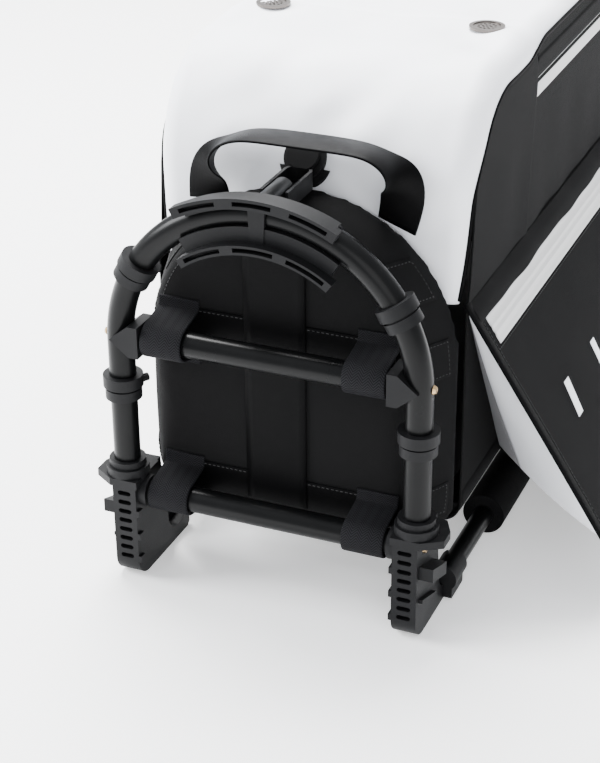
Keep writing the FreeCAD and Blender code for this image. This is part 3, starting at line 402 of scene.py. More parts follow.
powder_coat = grained("satin powder coat", (0.0014, 0.0015, 0.0016), 0.3, 1.6, 0.02,
                      Specular_IOR_Level=0.12)
moulded = grained("moulded plastic", (0.0045, 0.0046, 0.005), 0.5, 0.7, 0.07, Specular_IOR_Level=0.12)
rubber = grained("black rubber", (0.0028, 0.0028, 0.003), 0.62, 0.9, 0.06, Specular_IOR_Level=0.12)
foam = grained("foam sleeve", (0.0018, 0.0018, 0.002), 0.92, 1.8, 0.5, 0.04, Specular_IOR_Level=0.08)
brass = grained("yellow passivated steel", (0.42, 0.29, 0.15), 0.34, 0.6, 0.02, Metallic=1.0)
zinc = grained("zinc plated steel", (0.46, 0.47, 0.49), 0.32, 0.6, 0.02, Metallic=1.0)
gunmetal = grained("gunmetal", (0.16, 0.16, 0.17), 0.3, 0.6, 0.02, Metallic=1.0)
nickel = grained("antique nickel", (0.105, 0.093, 0.085), 0.3, 0.8, 0.02, Metallic=1.0)
tyre_rubber = grained("cast polyurethane", (0.0075, 0.0075, 0.0078), 0.5, 1.2, 0.05,
                      Specular_IOR_Level=0.25)
hub_plastic = grained("hub plastic", (0.022, 0.022, 0.023), 0.45, 0.8, 0.04)
board_plastic = grained("base board", (0.012, 0.012, 0.0125), 0.6, 1.4, 0.05)
print(len(bpy.data.materials), "hard finishes")

# %% [markdown]
# ## Painting the hard parts
#
# The tubes are powder coated steel, the feet and clips are moulded plastic, the collars are rubber.
# Each node could be painted by name, but the record already says what every part is made of, so the
# finish is looked up by that material slot.

# %% Which CAD node gets which
SLOT_FINISH = {"tube": powder_coat, "moulding": moulded, "rubber": rubber, "foam": foam,
               "screw": brass, "steel": zinc, "zip_metal": gunmetal, "vent_metal": nickel,
               "tyre": tyre_rubber, "hub": hub_plastic, "board": board_plastic}
for part in frame["record"]["subparts"]:
    if part["material_slot"] in SLOT_FINISH:
        node = frame["nodes"][part["node"]]
        node.data.materials.clear()
        node.data.materials.append(SLOT_FINISH[part["material_slot"]])
print("hard parts painted")

# %% [markdown]
# ## Finishes of the cloth
#
# The black panels are a plain weave of coarse polyester.  The white panels are a tighter, coated
# cloth, nearly smooth.  Webbing for the loops is a herringbone, and the handle is satin webbing with
# fine ribs along it.  The zip tape has lines along it and small ribs across its middle.

# %% Cloth finishes
def woven(name, colour, roughness, pitch, depth, thread, sheen, shine):
    """Plain weave: thread is how much lighter the tops of the threads are, a painted highlight on the thread
    tops with painted shade between them; the slub noise adds random tone of the yarn.
    """
    finish = Finish(name, colour, roughness, Sheen_Weight=sheen, Sheen_Roughness=0.45,
                    Specular_IOR_Level=shine)
    u, v = finish.cloth()
    weave = plain_weave(finish, u, v, pitch)
    slub = finish.noise(9.0, 3.0)
    light = tuple(min(1.0, part * (1.0 + thread)) for part in colour)
    # Base colour: painted highlight on the thread tops and painted shade between the threads, mixed with
    # random slub tone.
    finish.feed("Base Color", finish.mix(weave * 0.6 + slub * 0.4, colour, light))
    finish.feed("Roughness", slub * 0.1 + (roughness - 0.05))
    soft = finish.bump(finish.noise(35.0, 2.0), 0.5)
    finish.feed("Normal", finish.bump(weave, depth, soft))
    return finish.material


def webbed(name, colour, roughness, rib, column, depth, thread):
    """Herringbone webbing; thread is how much lighter the tops of the ribs are, a painted highlight on the
    rib tops with painted shade in the grooves between them.
    """
    finish = Finish(name, colour, roughness, Specular_IOR_Level=0.04)
    u, v = finish.cloth()
    weave = herringbone(finish, u, v, rib, column)
    light = tuple(min(1.0, part * (1.0 + thread)) for part in colour)
    # Base colour: painted highlight on the rib tops and painted shade in the grooves between them.
    finish.feed("Base Color", finish.mix(weave ** 2.5, colour, light))
    finish.feed("Roughness", finish.noise(12.0, 3.0) * 0.12 + (roughness - 0.06))
    finish.feed("Normal", finish.bump(weave, depth))
    return finish.material


def taped(name, colour, roughness):
    """Zip tape: fine ribs across it, with painted shade in the grooves between the ribs and random tone from
    noise.
    """
    finish = Finish(name, colour, roughness, Sheen_Weight=0.1, Sheen_Roughness=0.5)
    u, v = finish.cloth()
    ribs = abs((u / (1.5 * MM) * math.pi).sine())
    groove_shade = tuple(part * 0.86 for part in colour)
    # Base colour: painted shade in the rib grooves, mixed with random noise tone.
    finish.feed("Base Color", finish.mix(ribs * 0.7 + finish.noise(15.0) * 0.3, groove_shade, colour))
    finish.feed("Normal", finish.bump(ribs, 0.12))
    return finish.material


# The thread value of each woven cloth sets its painted highlight on the thread tops.
black_cloth = woven("black polyester", (0.0034, 0.0034, 0.0035), 0.8, 0.9, 0.12, 0.9, 0.006, 0.05)
white_cloth = woven("white coated cloth", (0.91, 0.925, 0.96), 0.52, 0.8, 0.03, 0.03, 0.1, 0.4)
grey_cloth = woven("grey facing", (0.19, 0.19, 0.2), 0.62, 0.8, 0.08, 0.15, 0.1, 0.4)
# The thread value of each webbing sets its painted highlight on the rib tops.
herringbone_web = webbed("herringbone webbing", (0.0008, 0.0008, 0.0009), 0.66, 2.6, 5.2, 0.3, 19.0)
satin_web = webbed("satin webbing", (0.0010, 0.0010, 0.0011), 0.42, 1.6, 1.6, 0.06, 1.2)
binding = webbed("binding tape", (0.0015, 0.0015, 0.0016), 0.6, 1.4, 1.4, 0.1, 0.6)
zip_cloth = taped("zip tape", (0.66, 0.66, 0.655), 0.6)
black_thread = grained("black thread", (0.006, 0.006, 0.0063), 0.5, 0.4, 0.05)
grey_thread = grained("grey thread", (0.012, 0.012, 0.0125), 0.5, 0.4, 0.05)
print(len(bpy.data.materials), "finishes in all")


def dress(piece, material, body, slot, *replaced):
    """Gives a piece its finish and its body, and hides the CAD nodes it stands for; slot is not used."""
    piece.data.materials.clear()
    piece.data.materials.append(material)
    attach(piece, body)
    if replaced:
        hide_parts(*replaced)
    return piece


def both_ends(piece, far_name, material, slot, near=(), far=()):
    """Dresses a chassis piece of the standing end, and its mirror image at the wheeled end."""
    dress(piece, material, "chassis", slot, *near)
    return dress(mirrored(piece, far_name, 1, far_arch_y / 2), material, "chassis", slot, *far)

# %% [markdown]
# ## Camera, floor and light
#
# A product shot: the camera stands low over the near left corner and looks down the bag, with a long
# lens so that the verticals stay calm.  The floor rises into a backdrop far behind, and large soft
# lights give the pale, nearly shadowless ground.

# %% Camera
camera_data = bpy.data.cameras.new("camera")
camera_data.lens, camera_data.sensor_width = 87.9, 36.0
camera_data.clip_end = 60.0
camera = bpy.data.objects.new("camera", camera_data)
bpy.context.scene.collection.objects.link(camera)
camera.location = place((624.0, -1395.0, 1034.0))
AZIMUTH, ELEVATION, ROLL = (math.radians(a) for a in (22.7, 27.5, 0.44))
camera.rotation_euler = (math.pi / 2 - ELEVATION, ROLL, AZIMUTH)
bpy.context.scene.camera = camera
print("camera at", [round(c, 2) for c in camera.location])

# %% [markdown]
# ## Floor and light
#
# A studio sweep is a sheet of paper that bends up behind the object.  It could be a plain plane, but
# then its far edge would show, so a quarter circle carries it up.  Three square lamps and a pale room
# give soft shadows.

# %% Floor and backdrop
def ground():
    """Floor that bends up into a wall: flat to BEND_Y, a quarter circle of BEND_R, then straight up."""
    reach, bend_y, bend_r, wall_top = 9000.0, 7000.0, 3000.0, 6000.0
    turn = np.linspace(0.0, math.pi / 2, 24)
    y = np.concatenate([[-reach], bend_y + bend_r * np.sin(turn), [bend_y + bend_r]])
    z = np.concatenate([[0.0], bend_r * (1 - np.cos(turn)), [wall_top]])
    x = np.array([-reach, reach])
    grid = np.stack(np.broadcast_arrays(x[None, :], y[:, None], z[:, None]), axis=2)
    return make_object("backdrop", grid.reshape(-1, 3), grid_faces(len(y), 2)[:, ::-1])


floor = ground()
paper = Finish("backdrop paper", (0.90, 0.90, 0.90), 0.85, Specular_IOR_Level=0.2,
               Emission_Color=(1.0, 1.0, 1.0, 1.0), Emission_Strength=0.5)
floor.data.materials.append(paper.material)


def soft_light(name, spot, target, size, watts, colour=(1.0, 1.0, 1.0)):
    """Square area light at a spot in metres, turned towards a target."""
    data = bpy.data.lights.new(name, "AREA")
    data.size, data.energy, data.color = size, watts, colour
    lamp = bpy.data.objects.new(name, data)
    bpy.context.scene.collection.objects.link(lamp)
    towards = np.array(target) - np.array(spot)
    flat = math.hypot(towards[0], towards[1])
    lamp.location = spot
    lamp.rotation_euler = (math.atan2(flat, -towards[2]), 0.0,
                           math.atan2(towards[1], towards[0]) - math.pi / 2)
    return lamp


soft_light("overhead", (-0.9, 0.9, 3.2), (0.0, 0.0, 0.2), 2.2, 520.0)
soft_light("left window", (-2.8, -1.2, 1.9), (0.0, -0.2, 0.25), 1.5, 230.0, (0.97, 0.985, 1.0))
soft_light("front fill", (1.6, -3.2, 1.6), (0.0, -0.3, 0.25), 2.2, 45.0)
world = bpy.data.worlds.new("room")
world.use_nodes = True
world.node_tree.nodes["Background"].inputs["Color"].default_value = (0.93, 0.95, 1.0, 1.0)
world.node_tree.nodes["Background"].inputs["Strength"].default_value = 1.25
bpy.context.scene.world = world
print("studio set")

# %% [markdown]
# ## The skin of the bag
#
# Seen from the side the bag is a long box whose two ends are rounded.  A point of the skin is found
# from its distance along that outline and its distance from the middle line; near the sides the
# skin turns down over a small round.  All the upper panels share this one surface, so they meet.

# %% One surface for the upper panels
TOP_R, EDGE_R = 110.0, 22.0
round_y, far_round_y, round_z = bag_y0 + TOP_R, bag_y1 - TOP_R, bag_top - TOP_R
QUARTER = TOP_R * math.pi / 2
top_run = far_round_y - round_y
flat_half = bag_half - EDGE_R


def over_bag(s, w, lift=0.0):
    """Point and outward normal of the skin: straight up the near wall while s < 0, a quarter circle,
    the flat top, a quarter circle and down; w is the distance from the middle line, which past
    flat_half turns over the edge round and then runs straight down the side."""
    s, w, lift = np.broadcast_arrays(*(np.asarray(a, float) for a in (s, w, lift)))
    near = np.clip(s / TOP_R, 0.0, math.pi / 2)
    far = np.clip((s - QUARTER - top_run) / TOP_R, 0.0, math.pi / 2)
    y = bag_y0 + TOP_R * (1 - np.cos(near)) + np.clip(s - QUARTER, 0.0, top_run) + TOP_R * np.sin(far)
    z = (round_z + np.minimum(s, 0.0) + TOP_R * np.sin(near) - TOP_R * (1 - np.cos(far))
         - np.maximum(s - 2 * QUARTER - top_run, 0.0))
    out_y, out_z = -np.cos(near + far), np.sin(near + far)
    bend = np.clip((np.abs(w) - flat_half) / EDGE_R, 0.0, math.pi / 2)
    inset = EDGE_R * (1 - np.cos(bend)) + np.maximum(np.abs(w) - flat_half - EDGE_R * math.pi / 2, 0.0)
    x = np.sign(w) * (np.minimum(np.abs(w), flat_half) + EDGE_R * np.sin(bend))
    normal = np.stack([np.sign(w) * np.sin(bend), np.cos(bend) * out_y, np.cos(bend) * out_z], axis=-1)
    point = np.stack([x, y - out_y * inset, z - out_z * inset], axis=-1)
    return point + normal * lift[..., None], normal


def width_at(inset):
    """Distance from the middle line at which the skin has turned down by inset."""
    inset = np.asarray(inset, float)
    bend = np.arccos(np.clip(1 - inset / EDGE_R, 0.0, 1.0))
    return flat_half + EDGE_R * bend + np.maximum(inset - EDGE_R, 0.0)


def grid_normals(grid):
    """Unit normals of a grid from the cross product of its row and column directions."""
    return unit(np.cross(np.gradient(grid, axis=1), np.gradient(grid, axis=0)))


# Where the edge of the white panel runs: its drop below the top line at distances along the outline
EDGE_AT = np.array([-100.0, -60.0, 0.0, 28.0, 60.0, 110.0, 200.0, 236.0, 262.0, 285.0, 2000.0])
EDGE_DROP = np.array([4.0, 8.0, 13.0, 19.0, 27.0, 27.0, 28.0, 27.0, 20.0, 16.0, 16.0])
LID_EDGE_DROP = 16.0
fold_s = QUARTER + fold_y - round_y


def edge_drop(s):
    """Drop of the white panel's edge at distance s, eased between its turning points."""
    return sum(np.interp(s + shift, EDGE_AT, EDGE_DROP) for shift in (-10.0, -4.0, 0.0, 4.0, 10.0)) / 5


def arch_top(x, half_width, centre_z):
    """Height of an arch outline over x."""
    return centre_z + np.sqrt(np.maximum(half_width ** 2 - np.asarray(x, float) ** 2, 0.0))


CAP_FACE_HALF, CAP_FACE_BOTTOM, CAP_BACK_DROP = 130.0, 85.0, 16.0
CAP_CORNER_R = 26.0
WHITE_TIP_Z = 300.0
back_spring = spring_z - CAP_BACK_DROP
print("outline", round(2 * QUARTER + top_run), "mm round the top")

# %% [markdown]
# ## The white end panel and lid
#
# One piece of white coated cloth runs from the seam round the padded end, up over the round and on
# along the lid.  Real cloth is never quite flat: it sinks a little between its edges, pulls in small
# creases towards the anchor boot and the fold, and its slack makes wide soft waves.

# %% White top
def soft_waves(s, w, seed, size, count=7):
    """Wide waves from -1 to 1: the mean of a few sine waves in random directions."""
    rng = np.random.default_rng(seed)
    turn, phase = rng.uniform(0, math.pi, count), rng.uniform(0, 2 * math.pi, count)
    reach = size * rng.uniform(0.6, 1.7, count)
    total = sum(np.sin(2 * math.pi * (s * math.cos(t) + w * math.sin(t)) / r + p)
                for t, p, r in zip(turn, phase, reach))
    return total / math.sqrt(count)


def white_lift(s, w, v):
    """How far the white cloth stands off the plain outline."""
    free = np.clip(1 - v ** 6, 0.0, 1.0) * np.clip((s + 95.0) / 60.0, 0.0, 1.0)
    sag = -4.0 * np.clip((s - 120.0) / 160.0, 0.0, 1.0) * (1 - v ** 2)
    crown = 3.0 * np.exp(-((s - 60.0) / 90.0) ** 2) * (1 - v ** 2)
    waves = 1.7 * soft_waves(s, w, 4, 130.0) + 0.5 * soft_waves(s, w, 9, 48.0)
    boot_s = 22.0
    away = np.hypot(s - boot_s, w)
    bearing = np.arctan2(w, s - boot_s)
    pulls = 2.4 * np.exp(-((away - 55.0) / 45.0) ** 2) * np.cos(5 * bearing + 0.6)
    corner = 2.6 * np.exp(-((s - 215.0) / 60.0) ** 2 - ((np.abs(w) - 120.0) / 45.0) ** 2) * np.sin(
        (s + 0.8 * np.abs(w)) / 17.0)
    crease = -1.3 * np.exp(-((s - fold_s) / 5.0) ** 2)
    calm = 1 - np.exp(-(np.maximum(away - 24.0, 0.0) / 16.0) ** 2)
    return free * (sag + crown + calm * (waves + pulls) + corner + crease)


def white_top():
    """Grid over the outline, from behind the cap's arch to the far end of the lid."""
    v = np.sin(np.linspace(-1, 1, 91) * math.pi / 2 * 0.9) / math.sin(math.pi / 2 * 0.9)
    nominal = v * width_at(LID_EDGE_DROP)
    bend = np.clip((np.abs(nominal) - flat_half) / EDGE_R, 0.0, math.pi / 2)
    x = np.minimum(np.abs(nominal), flat_half) + EDGE_R * np.sin(bend)
    low = np.maximum(arch_top(x, bag_half, back_spring) - 9.0, WHITE_TIP_Z - 3.0) - round_z
    inset = EDGE_R * (1 - np.cos(bend))
    lid_edge_z = bag_top - LID_EDGE_DROP
    end = QUARTER + top_run + TOP_R * np.arccos(np.clip((lid_edge_z - round_z) / (TOP_R - inset), -1, 1))
    share = np.linspace(0.0, 1.0, 74)[:, None]
    near = low + (fold_s - 4.0 - low) * share
    middle = np.linspace(fold_s - 2.0, fold_s + 18.0, 9)[:, None] + np.zeros_like(low)
    rest = fold_s + 22.0 + (end - fold_s - 22.0) * share
    s = np.concatenate([near, middle, rest])
    w = v * width_at(edge_drop(s))
    grid, _ = over_bag(s, w, white_lift(s, w, v[None, :] + np.zeros_like(s)) + 0.8)
    return cloth_grid("white_top", grid, thickness=1.4)


def across_fold(piece, material, slot, *replaced):
    """Finish for a piece that runs from the chassis on to the lid, with its placement baked into its mesh;
    slot is not used.
    """
    piece.data.materials.clear()
    piece.data.materials.append(material)
    if replaced:
        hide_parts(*replaced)
    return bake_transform(piece, "chassis", "lid", start=place((0.0, fold_y - 2.0, bag_top)),
                    end=place((0.0, fold_y + 14.0, bag_top)))


top = white_top()
across_fold(top, white_cloth, "white_fabric", "bag_end_panel", "bag_lid")
print("white top:", len(top.data.polygons), "faces")

# %% [markdown]
# ## Bands round the far end
#
# The zip, the black strip over it and the edge of the lid run level round three sides of the bag.
# A belt is the path at one height: along the side, round the vertical edge, across the far end and
# back.  A band is a grid of such paths, standing a little proud of the wall.

# %% Belts
def belt(z, y_start, count=330):
    """Path at height z: x = flat_half + EDGE_R sin a and y = far_round_y + the width of the end round
    at that height, for a turning from the side to the end; then the same mirrored."""
    side_turn = math.acos(min(max(1 - (bag_top - z) / EDGE_R, 0.0), 1.0))
    a = np.linspace(side_turn, 0.0, 12)
    inset = EDGE_R * (1 - np.cos(a))
    y = far_round_y + np.sqrt(np.maximum((TOP_R - inset) ** 2 - max(z - round_z, 0.0) ** 2, 0.0))
    x = flat_half + EDGE_R * np.sin(a)
    right = np.stack([np.concatenate([[x[0]], x]), np.concatenate([[y_start], y])], axis=1)
    left = right[::-1] * np.array([-1.0, 1.0])
    path = evenly(np.concatenate([right, left]), count)
    return np.column_stack([path, np.full(count, z)])


def band(name, heights, lifts, y_start, thickness=1.0):
    """Band between several heights, each standing off the wall by its own lift."""
    grid = np.stack([belt(z, y_start) for z in heights])
    grid = grid + grid_normals(grid) * -np.asarray(lifts, float)[:, None, None]
    return cloth_grid(name, grid, thickness, flip=True)


def tape_lift(v):
    """Profile of a zip tape at v millimetres from its middle: edges, two cord ridges and the slit."""
    v = np.abs(v)
    return 0.75 + 0.85 * np.exp(-((v - 3.6) / 2.2) ** 2) - 0.25 * np.exp(-((v - 9.5) / 1.0) ** 2) \
        + 0.15 * np.exp(-((v - 13.5) / 2.0) ** 2)


tape_half = 20.0
lid_edge_z = bag_top - LID_EDGE_DROP
tuck_y = fold_y + 1.0
low_heights = np.linspace(split_z - tape_half, split_z - 0.3, 15)
high_heights = np.linspace(split_z + 0.8, split_z + tape_half, 15)
lower_tape = band("zip_tape_lower", low_heights, tape_lift(low_heights - split_z), tuck_y)
dress(lower_tape, zip_cloth, "chassis", "zip_tape", "main_zip_tape_lower")
upper_tape = band("zip_tape_upper", high_heights, tape_lift(high_heights - split_z), tuck_y)
dress(upper_tape, zip_cloth, "lid", "zip_tape", "main_zip_tape_upper")
skirt_heights = np.concatenate([np.linspace(split_z + 1.0, split_z + tape_half, 6),
                                np.linspace(split_z + tape_half + 1.0, lid_edge_z, 7)])
skirt_lifts = np.where(skirt_heights > split_z + tape_half + 0.5, 1.1, 0.0)
skirt = band("lid_skirt", skirt_heights, skirt_lifts, tuck_y, 1.2)
dress(skirt, black_cloth, "lid", "black_fabric")
print("zip bands:", round(lengths_along(belt(split_z, tuck_y))[-1]), "mm of zip")

# %% [markdown]
# ## Piping
#
# A thin cord in black binding covers the seam between the white cloth and the black sides.  It
# follows the edge of the white piece on both sides and goes round the far end of the lid.

# %% Piping of the white panel
def edge_path():
    """Edge of the white piece: up the right side, round the far end of the lid, down the left."""
    s = np.concatenate([np.linspace(WHITE_TIP_Z - round_z, fold_s + 40.0, 120),
                        np.linspace(fold_s + 52.0, QUARTER + top_run - 2.0, 40)])
    right, normal = over_bag(s, width_at(edge_drop(s)), 0.6)
    round_end = belt(lid_edge_z, far_round_y + 6.0, 110)
    turn = grid_normals(np.stack([belt(lid_edge_z - 1.0, far_round_y + 6.0, 110), round_end]))[1] * -1
    left, left_normal = right[::-1] * [-1, 1, 1], normal[::-1] * [-1, 1, 1]
    path = np.concatenate([right, round_end + turn * 0.6, left])
    return path, np.concatenate([normal, turn, left_normal])


path, outward = edge_path()
piping = cord_along("edge_piping", path, outward, 2.1)
across_fold(piping, binding, "black_fabric")
print("piping:", round(lengths_along(path)[-1]), "mm")

# %% [markdown]
# ## Black side walls
#
# Each wall is two panels: a facing at the near end, whose shaped edge covers the end of the zip, and
# the long panel behind it.  Both turn under the bag at the bottom.

# %% Side walls
SEAM_Z = np.array([60.0, 300.0, 400.0, 430.0, 455.0, 468.0, 476.0, 484.0])
SEAM_Y = np.array([284.0, 290.0, 302.0, 305.5, 307.0, 306.0, 302.0, 296.0])


def wall_top(y):
    """Height of the wall's upper edge: the white panel's edge, then the zip line."""
    s = np.linspace(WHITE_TIP_Z - round_z, fold_s, 200)
    edge, _ = over_bag(s, width_at(edge_drop(s)))
    order = np.argsort(edge[:, 1])
    return np.interp(y, edge[order, 1], edge[order, 2])


def wall_grid(y, top_z, lift):
    """Wall below top_z at each y: straight down, then a quarter turn under the bag."""
    share = np.linspace(0.0, 1.0, 60)[:, None]
    bottom = bag_low + EDGE_R
    z = top_z[None, :] + (bottom - top_z[None, :]) * share
    turn = np.linspace(0.15, math.pi / 2, 8)[:, None]
    y = np.broadcast_to(y, (1, len(top_z)))
    straight = np.stack([np.full_like(z, bag_half), y + np.zeros_like(z), z], axis=2)
    under = np.stack([flat_half + EDGE_R * np.cos(turn) + np.zeros_like(y),
                      y + np.zeros_like(turn), bottom - EDGE_R * np.sin(turn) + np.zeros_like(y)], axis=2)
    grid = np.concatenate([straight, under])
    height = grid[:, :, 2]
    calm = np.clip((430.0 - height) / 40.0, 0.0, 1.0) * np.clip((height - 90.0) / 60.0, 0.0, 1.0)
    calm = calm * np.clip((grid[:, :, 1] - bag_y0) / 40.0, 0.0, 1.0)
    grid[:, :, 0] += lift + 0.7 * calm * soft_waves(grid[:, :, 1], height * 0.6, 21, 110.0)
    return grid


def near_wall():
    """Facing: its far edge is moved to follow the shaped seam."""
    share = np.linspace(0.0, 1.0, 60)
    y = bag_y0 - 1.0 + (fold_y + 1.0 - bag_y0) * share
    grid = wall_grid(y, wall_top(y) + 1.0, 1.5)
    seam = np.interp(grid[:, :, 2], SEAM_Z, SEAM_Y)
    grid[:, :, 1] += (seam - y[-1]) * share[None, :] ** 3
    return cloth_grid("side_facing_right", grid, 1.8, flip=True)


def long_wall():
    """Long panel under the zip line, from under the facing to the far end."""
    y = np.linspace(280.0, bag_y1, 150)
    corner = np.sqrt(np.maximum((TOP_R - EDGE_R) ** 2 - np.maximum(y - far_round_y, 0.0) ** 2, 0.0))
    top_z = np.minimum(split_z - 0.5, round_z + corner)
    return cloth_grid("side_wall_right", wall_grid(y, top_z, 0.0), 1.6, flip=True)


facing = near_wall()
dress(facing, black_cloth, "chassis", "black_fabric", "bag_side_right")
dress(mirrored(facing, "side_facing_left", 0, 0.0), black_cloth, "chassis", "black_fabric",
      "bag_side_left")
wall = long_wall()
dress(wall, black_cloth, "chassis", "black_fabric", "bag_side_right")
dress(mirrored(wall, "side_wall_left", 0, 0.0), black_cloth, "chassis", "black_fabric",
      "bag_side_left")
print("side walls done")

# %% [markdown]
# ## The padded ends
#
# Each end of the bag is a padded panel held in an arch-shaped gusset.  A shell about a centimetre
# thick is remeshed into even quads, then inflated for a few frames by the cloth solver while the
# webbing lines and the back seam are pinned.  That gives the soft crowned fields between the straps
# that a drawn surface never quite has.  The other end is its mirror image.

# %% Shell of the near end
CAP_WALL, CAP_ROUND = 9.0, 9.0
BAND_X = (-34.0, 28.0)
STRAP_Z = (bar_z[0] + 5.0, bar_z[1] + 8.0)
SWELL_LIMIT = 6.0
VOXEL = 4.5


def arch_loop(half_width, bottom, centre_z, corner):
    """Outline (x, z): up the left side, half circle, down the right, rounded corners, bottom."""
    turn = np.linspace(math.pi, 0.0, 60)
    rise = np.linspace(bottom + corner, centre_z, 18, endpoint=False)
    quarter = np.linspace(0.0, math.pi / 2, 8)
    left = np.column_stack([np.full(18, -half_width), rise])
    top_arc = np.column_stack([half_width * np.cos(turn), centre_z + half_width * np.sin(turn)])
    right_corner = np.column_stack([half_width - corner + corner * np.cos(quarter),
                                    bottom + corner - corner * np.sin(quarter)])
    base = np.column_stack([np.linspace(half_width - corner, -half_width + corner, 26)[1:-1],
                            np.full(24, bottom)])
    left_corner = right_corner[::-1] * [-1, 1]
    return np.concatenate([left, top_arc, left[::-1] * [-1, 1], right_corner, base, left_corner[:-1]])


def cap_loop(depth, inset):
    """Outline of the cap at a depth from its face, moved inwards by inset (scaled to its middle)."""
    face = arch_loop(CAP_FACE_HALF, CAP_FACE_BOTTOM, spring_z, CAP_CORNER_R)
    back = arch_loop(bag_half, bag_low, back_spring, CAP_CORNER_R)
    share = depth / (cap_y1 - cap_y0)
    outline = face + (back - face) * share
    middle = np.array([0.0, 236.0])
    size = (CAP_FACE_HALF + 30.0 * share + 15.0)
    flat = middle + (outline - middle) * (1 - inset / size)
    return np.column_stack([flat[:, 0], np.full(len(flat), cap_y0 + depth), flat[:, 1]])


def cap_shell():
    """Closed shell: out over the face and gusset, round the back rim, and back along the inside."""
    depth_all = cap_y1 - cap_y0
    turn = np.linspace(0.0, math.pi / 2, 5)
    outer = [(0.0, inset) for inset in (138.0, 105.0, 72.0, 42.0, 22.0)]
    outer += [(CAP_ROUND * (1 - math.cos(t)), CAP_ROUND * (1 - math.sin(t))) for t in turn]
    outer += [(d, 0.0) for d in np.linspace(CAP_ROUND + 10.0, depth_all, 6)]
    inner = [(depth + (CAP_WALL if depth < depth_all - 1 else 0.0), inset + CAP_WALL)
             for depth, inset in outer if depth + CAP_WALL < depth_all or depth > depth_all - 1]
    loops = [cap_loop(*spot) for spot in outer + inner[::-1]]
    rows, columns = len(loops), len(loops[0])
    ring = np.arange(columns)
    faces = []
    for row in range(rows - 1):
        a, b = row * columns + ring, row * columns + np.roll(ring, -1)
        faces += list(np.stack([a, b, b + columns, a + columns], axis=1))
    faces += [ring[::-1], (rows - 1) * columns + ring]
    return make_object("front_pad", np.concatenate(loops), faces)


def coordinates(piece):
    """All vertices of a piece in millimetres, as an array."""
    flat = np.empty(len(piece.data.vertices) * 3, np.float32)
    piece.data.vertices.foreach_get("co", flat)
    return (flat.reshape(-1, 3).astype(float) - ARCH_FOOT) / MM


def move_to(piece, points):
    """Puts a piece's vertices at points in millimetres."""
    piece.data.vertices.foreach_set("co", place(points).astype(np.float32).ravel())
    piece.data.update()


def remeshed(piece, voxel):
    """Even quads all over, voxel millimetres across."""
    modifier = piece.modifiers.new("even", "REMESH")
    modifier.mode, modifier.voxel_size = "VOXEL", voxel * MM
    return applied(piece)


def inflated(piece, pinned, pressure, limit):
    """Blows the piece up for 20 frames, pinned where told, and caps how far a point has moved."""
    start = coordinates(piece)
    group = piece.vertex_groups.new(name="pins")
    group.add(np.flatnonzero(pinned).tolist(), 1.0, "REPLACE")
    cloth = piece.modifiers.new("inflate", "CLOTH")
    cloth.settings.quality = 6
    cloth.settings.mass = 0.25
    cloth.settings.tension_stiffness = cloth.settings.compression_stiffness = 12.0
    cloth.settings.bending_stiffness = 1.2
    cloth.settings.vertex_group_mass = "pins"
    cloth.settings.use_pressure = True
    cloth.settings.uniform_pressure_force = pressure
    cloth.settings.effector_weights.gravity = 0.0
    cloth.collision_settings.use_collision = False
    scene = bpy.context.scene
    for number in range(1, 21):
        scene.frame_set(number)
    applied(piece)
    scene.frame_set(1)
    moved = coordinates(piece) - start
    far = np.linalg.norm(moved, axis=1, keepdims=True)
    move_to(piece, start + moved * np.minimum(1.0, limit / np.maximum(far, 1e-6)))
    piece.vertex_groups.clear()
    return far.max()


def wrap_cloth(piece):
    """Cloth position of each point of a cap: (x, z), carried on outwards over the gusset by its depth
    times the outward direction, so the weave runs over the edge without a break."""
    points = coordinates(piece)
    flat = np.empty(len(points) * 3, np.float32)
    piece.data.vertex_normals.foreach_get("vector", flat)
    normal = flat.reshape(-1, 3)
    depth = (points[:, 1] - cap_y0)[:, None]
    cloth = points[:, [0, 2]] + normal[:, [0, 2]] * depth
    corner = np.empty(len(piece.data.loops), np.int32)
    piece.data.loops.foreach_get("vertex_index", corner)
    layer = piece.data.uv_layers.new(name="cloth")
    layer.data.foreach_set("uv", (cloth[corner] * MM).astype(np.float32).ravel())


front_pad = cap_shell()
remeshed(front_pad, VOXEL)
spots = coordinates(front_pad)
on_face = spots[:, 1] < cap_y0 + 14.0
lines = (np.abs(spots[:, 0] - BAND_X[0]) < 3.0) | (np.abs(spots[:, 0] - BAND_X[1]) < 3.0)
for strap_z in STRAP_Z:
    lines |= (np.abs(spots[:, 2] - strap_z) < 16.0) & (np.abs(spots[:, 0]) < 118.0)
pinned = (on_face & lines) | (spots[:, 1] > cap_y1 - 6.0)
print("near end:", len(spots), "points,", int(pinned.sum()), "pinned")

# %% [markdown]
# ## Swelling the pad
#
# The real pad is foam between two cloths, pulled down where it is sewn.  Sculpting could give the same
# fields; the solver finds them by itself, because only the seams are held still.  A light smoothing
# takes out the ripples of the last frames, and the far end is the mirror image.

# %% Inflate it and finish both ends
print("swelled by up to", round(inflated(front_pad, pinned, 4.0, SWELL_LIMIT), 1), "mm before the cap")
eased = front_pad.modifiers.new("ease", "SMOOTH")
eased.factor, eased.iterations = 0.5, 8
softened = front_pad.modifiers.new("finer", "SUBSURF")
softened.levels = softened.render_levels = 1
applied(front_pad)
front_pad.data.shade_smooth()
wrap_cloth(front_pad)
rear_pad = both_ends(front_pad, "rear_pad", black_cloth, "black_fabric", ["front_cap"], ["rear_cap"])
print("end pads:", len(front_pad.data.polygons), "faces each")

# %% [markdown]
# ## Webbing sewn on the padded end
#
# A wide band runs up the middle of the face and two straps cross it behind the crossbars.  Each is a
# flat grid pressed on to the pad by a Shrinkwrap modifier, so it follows every swelling, and gets
# its thickness afterwards.

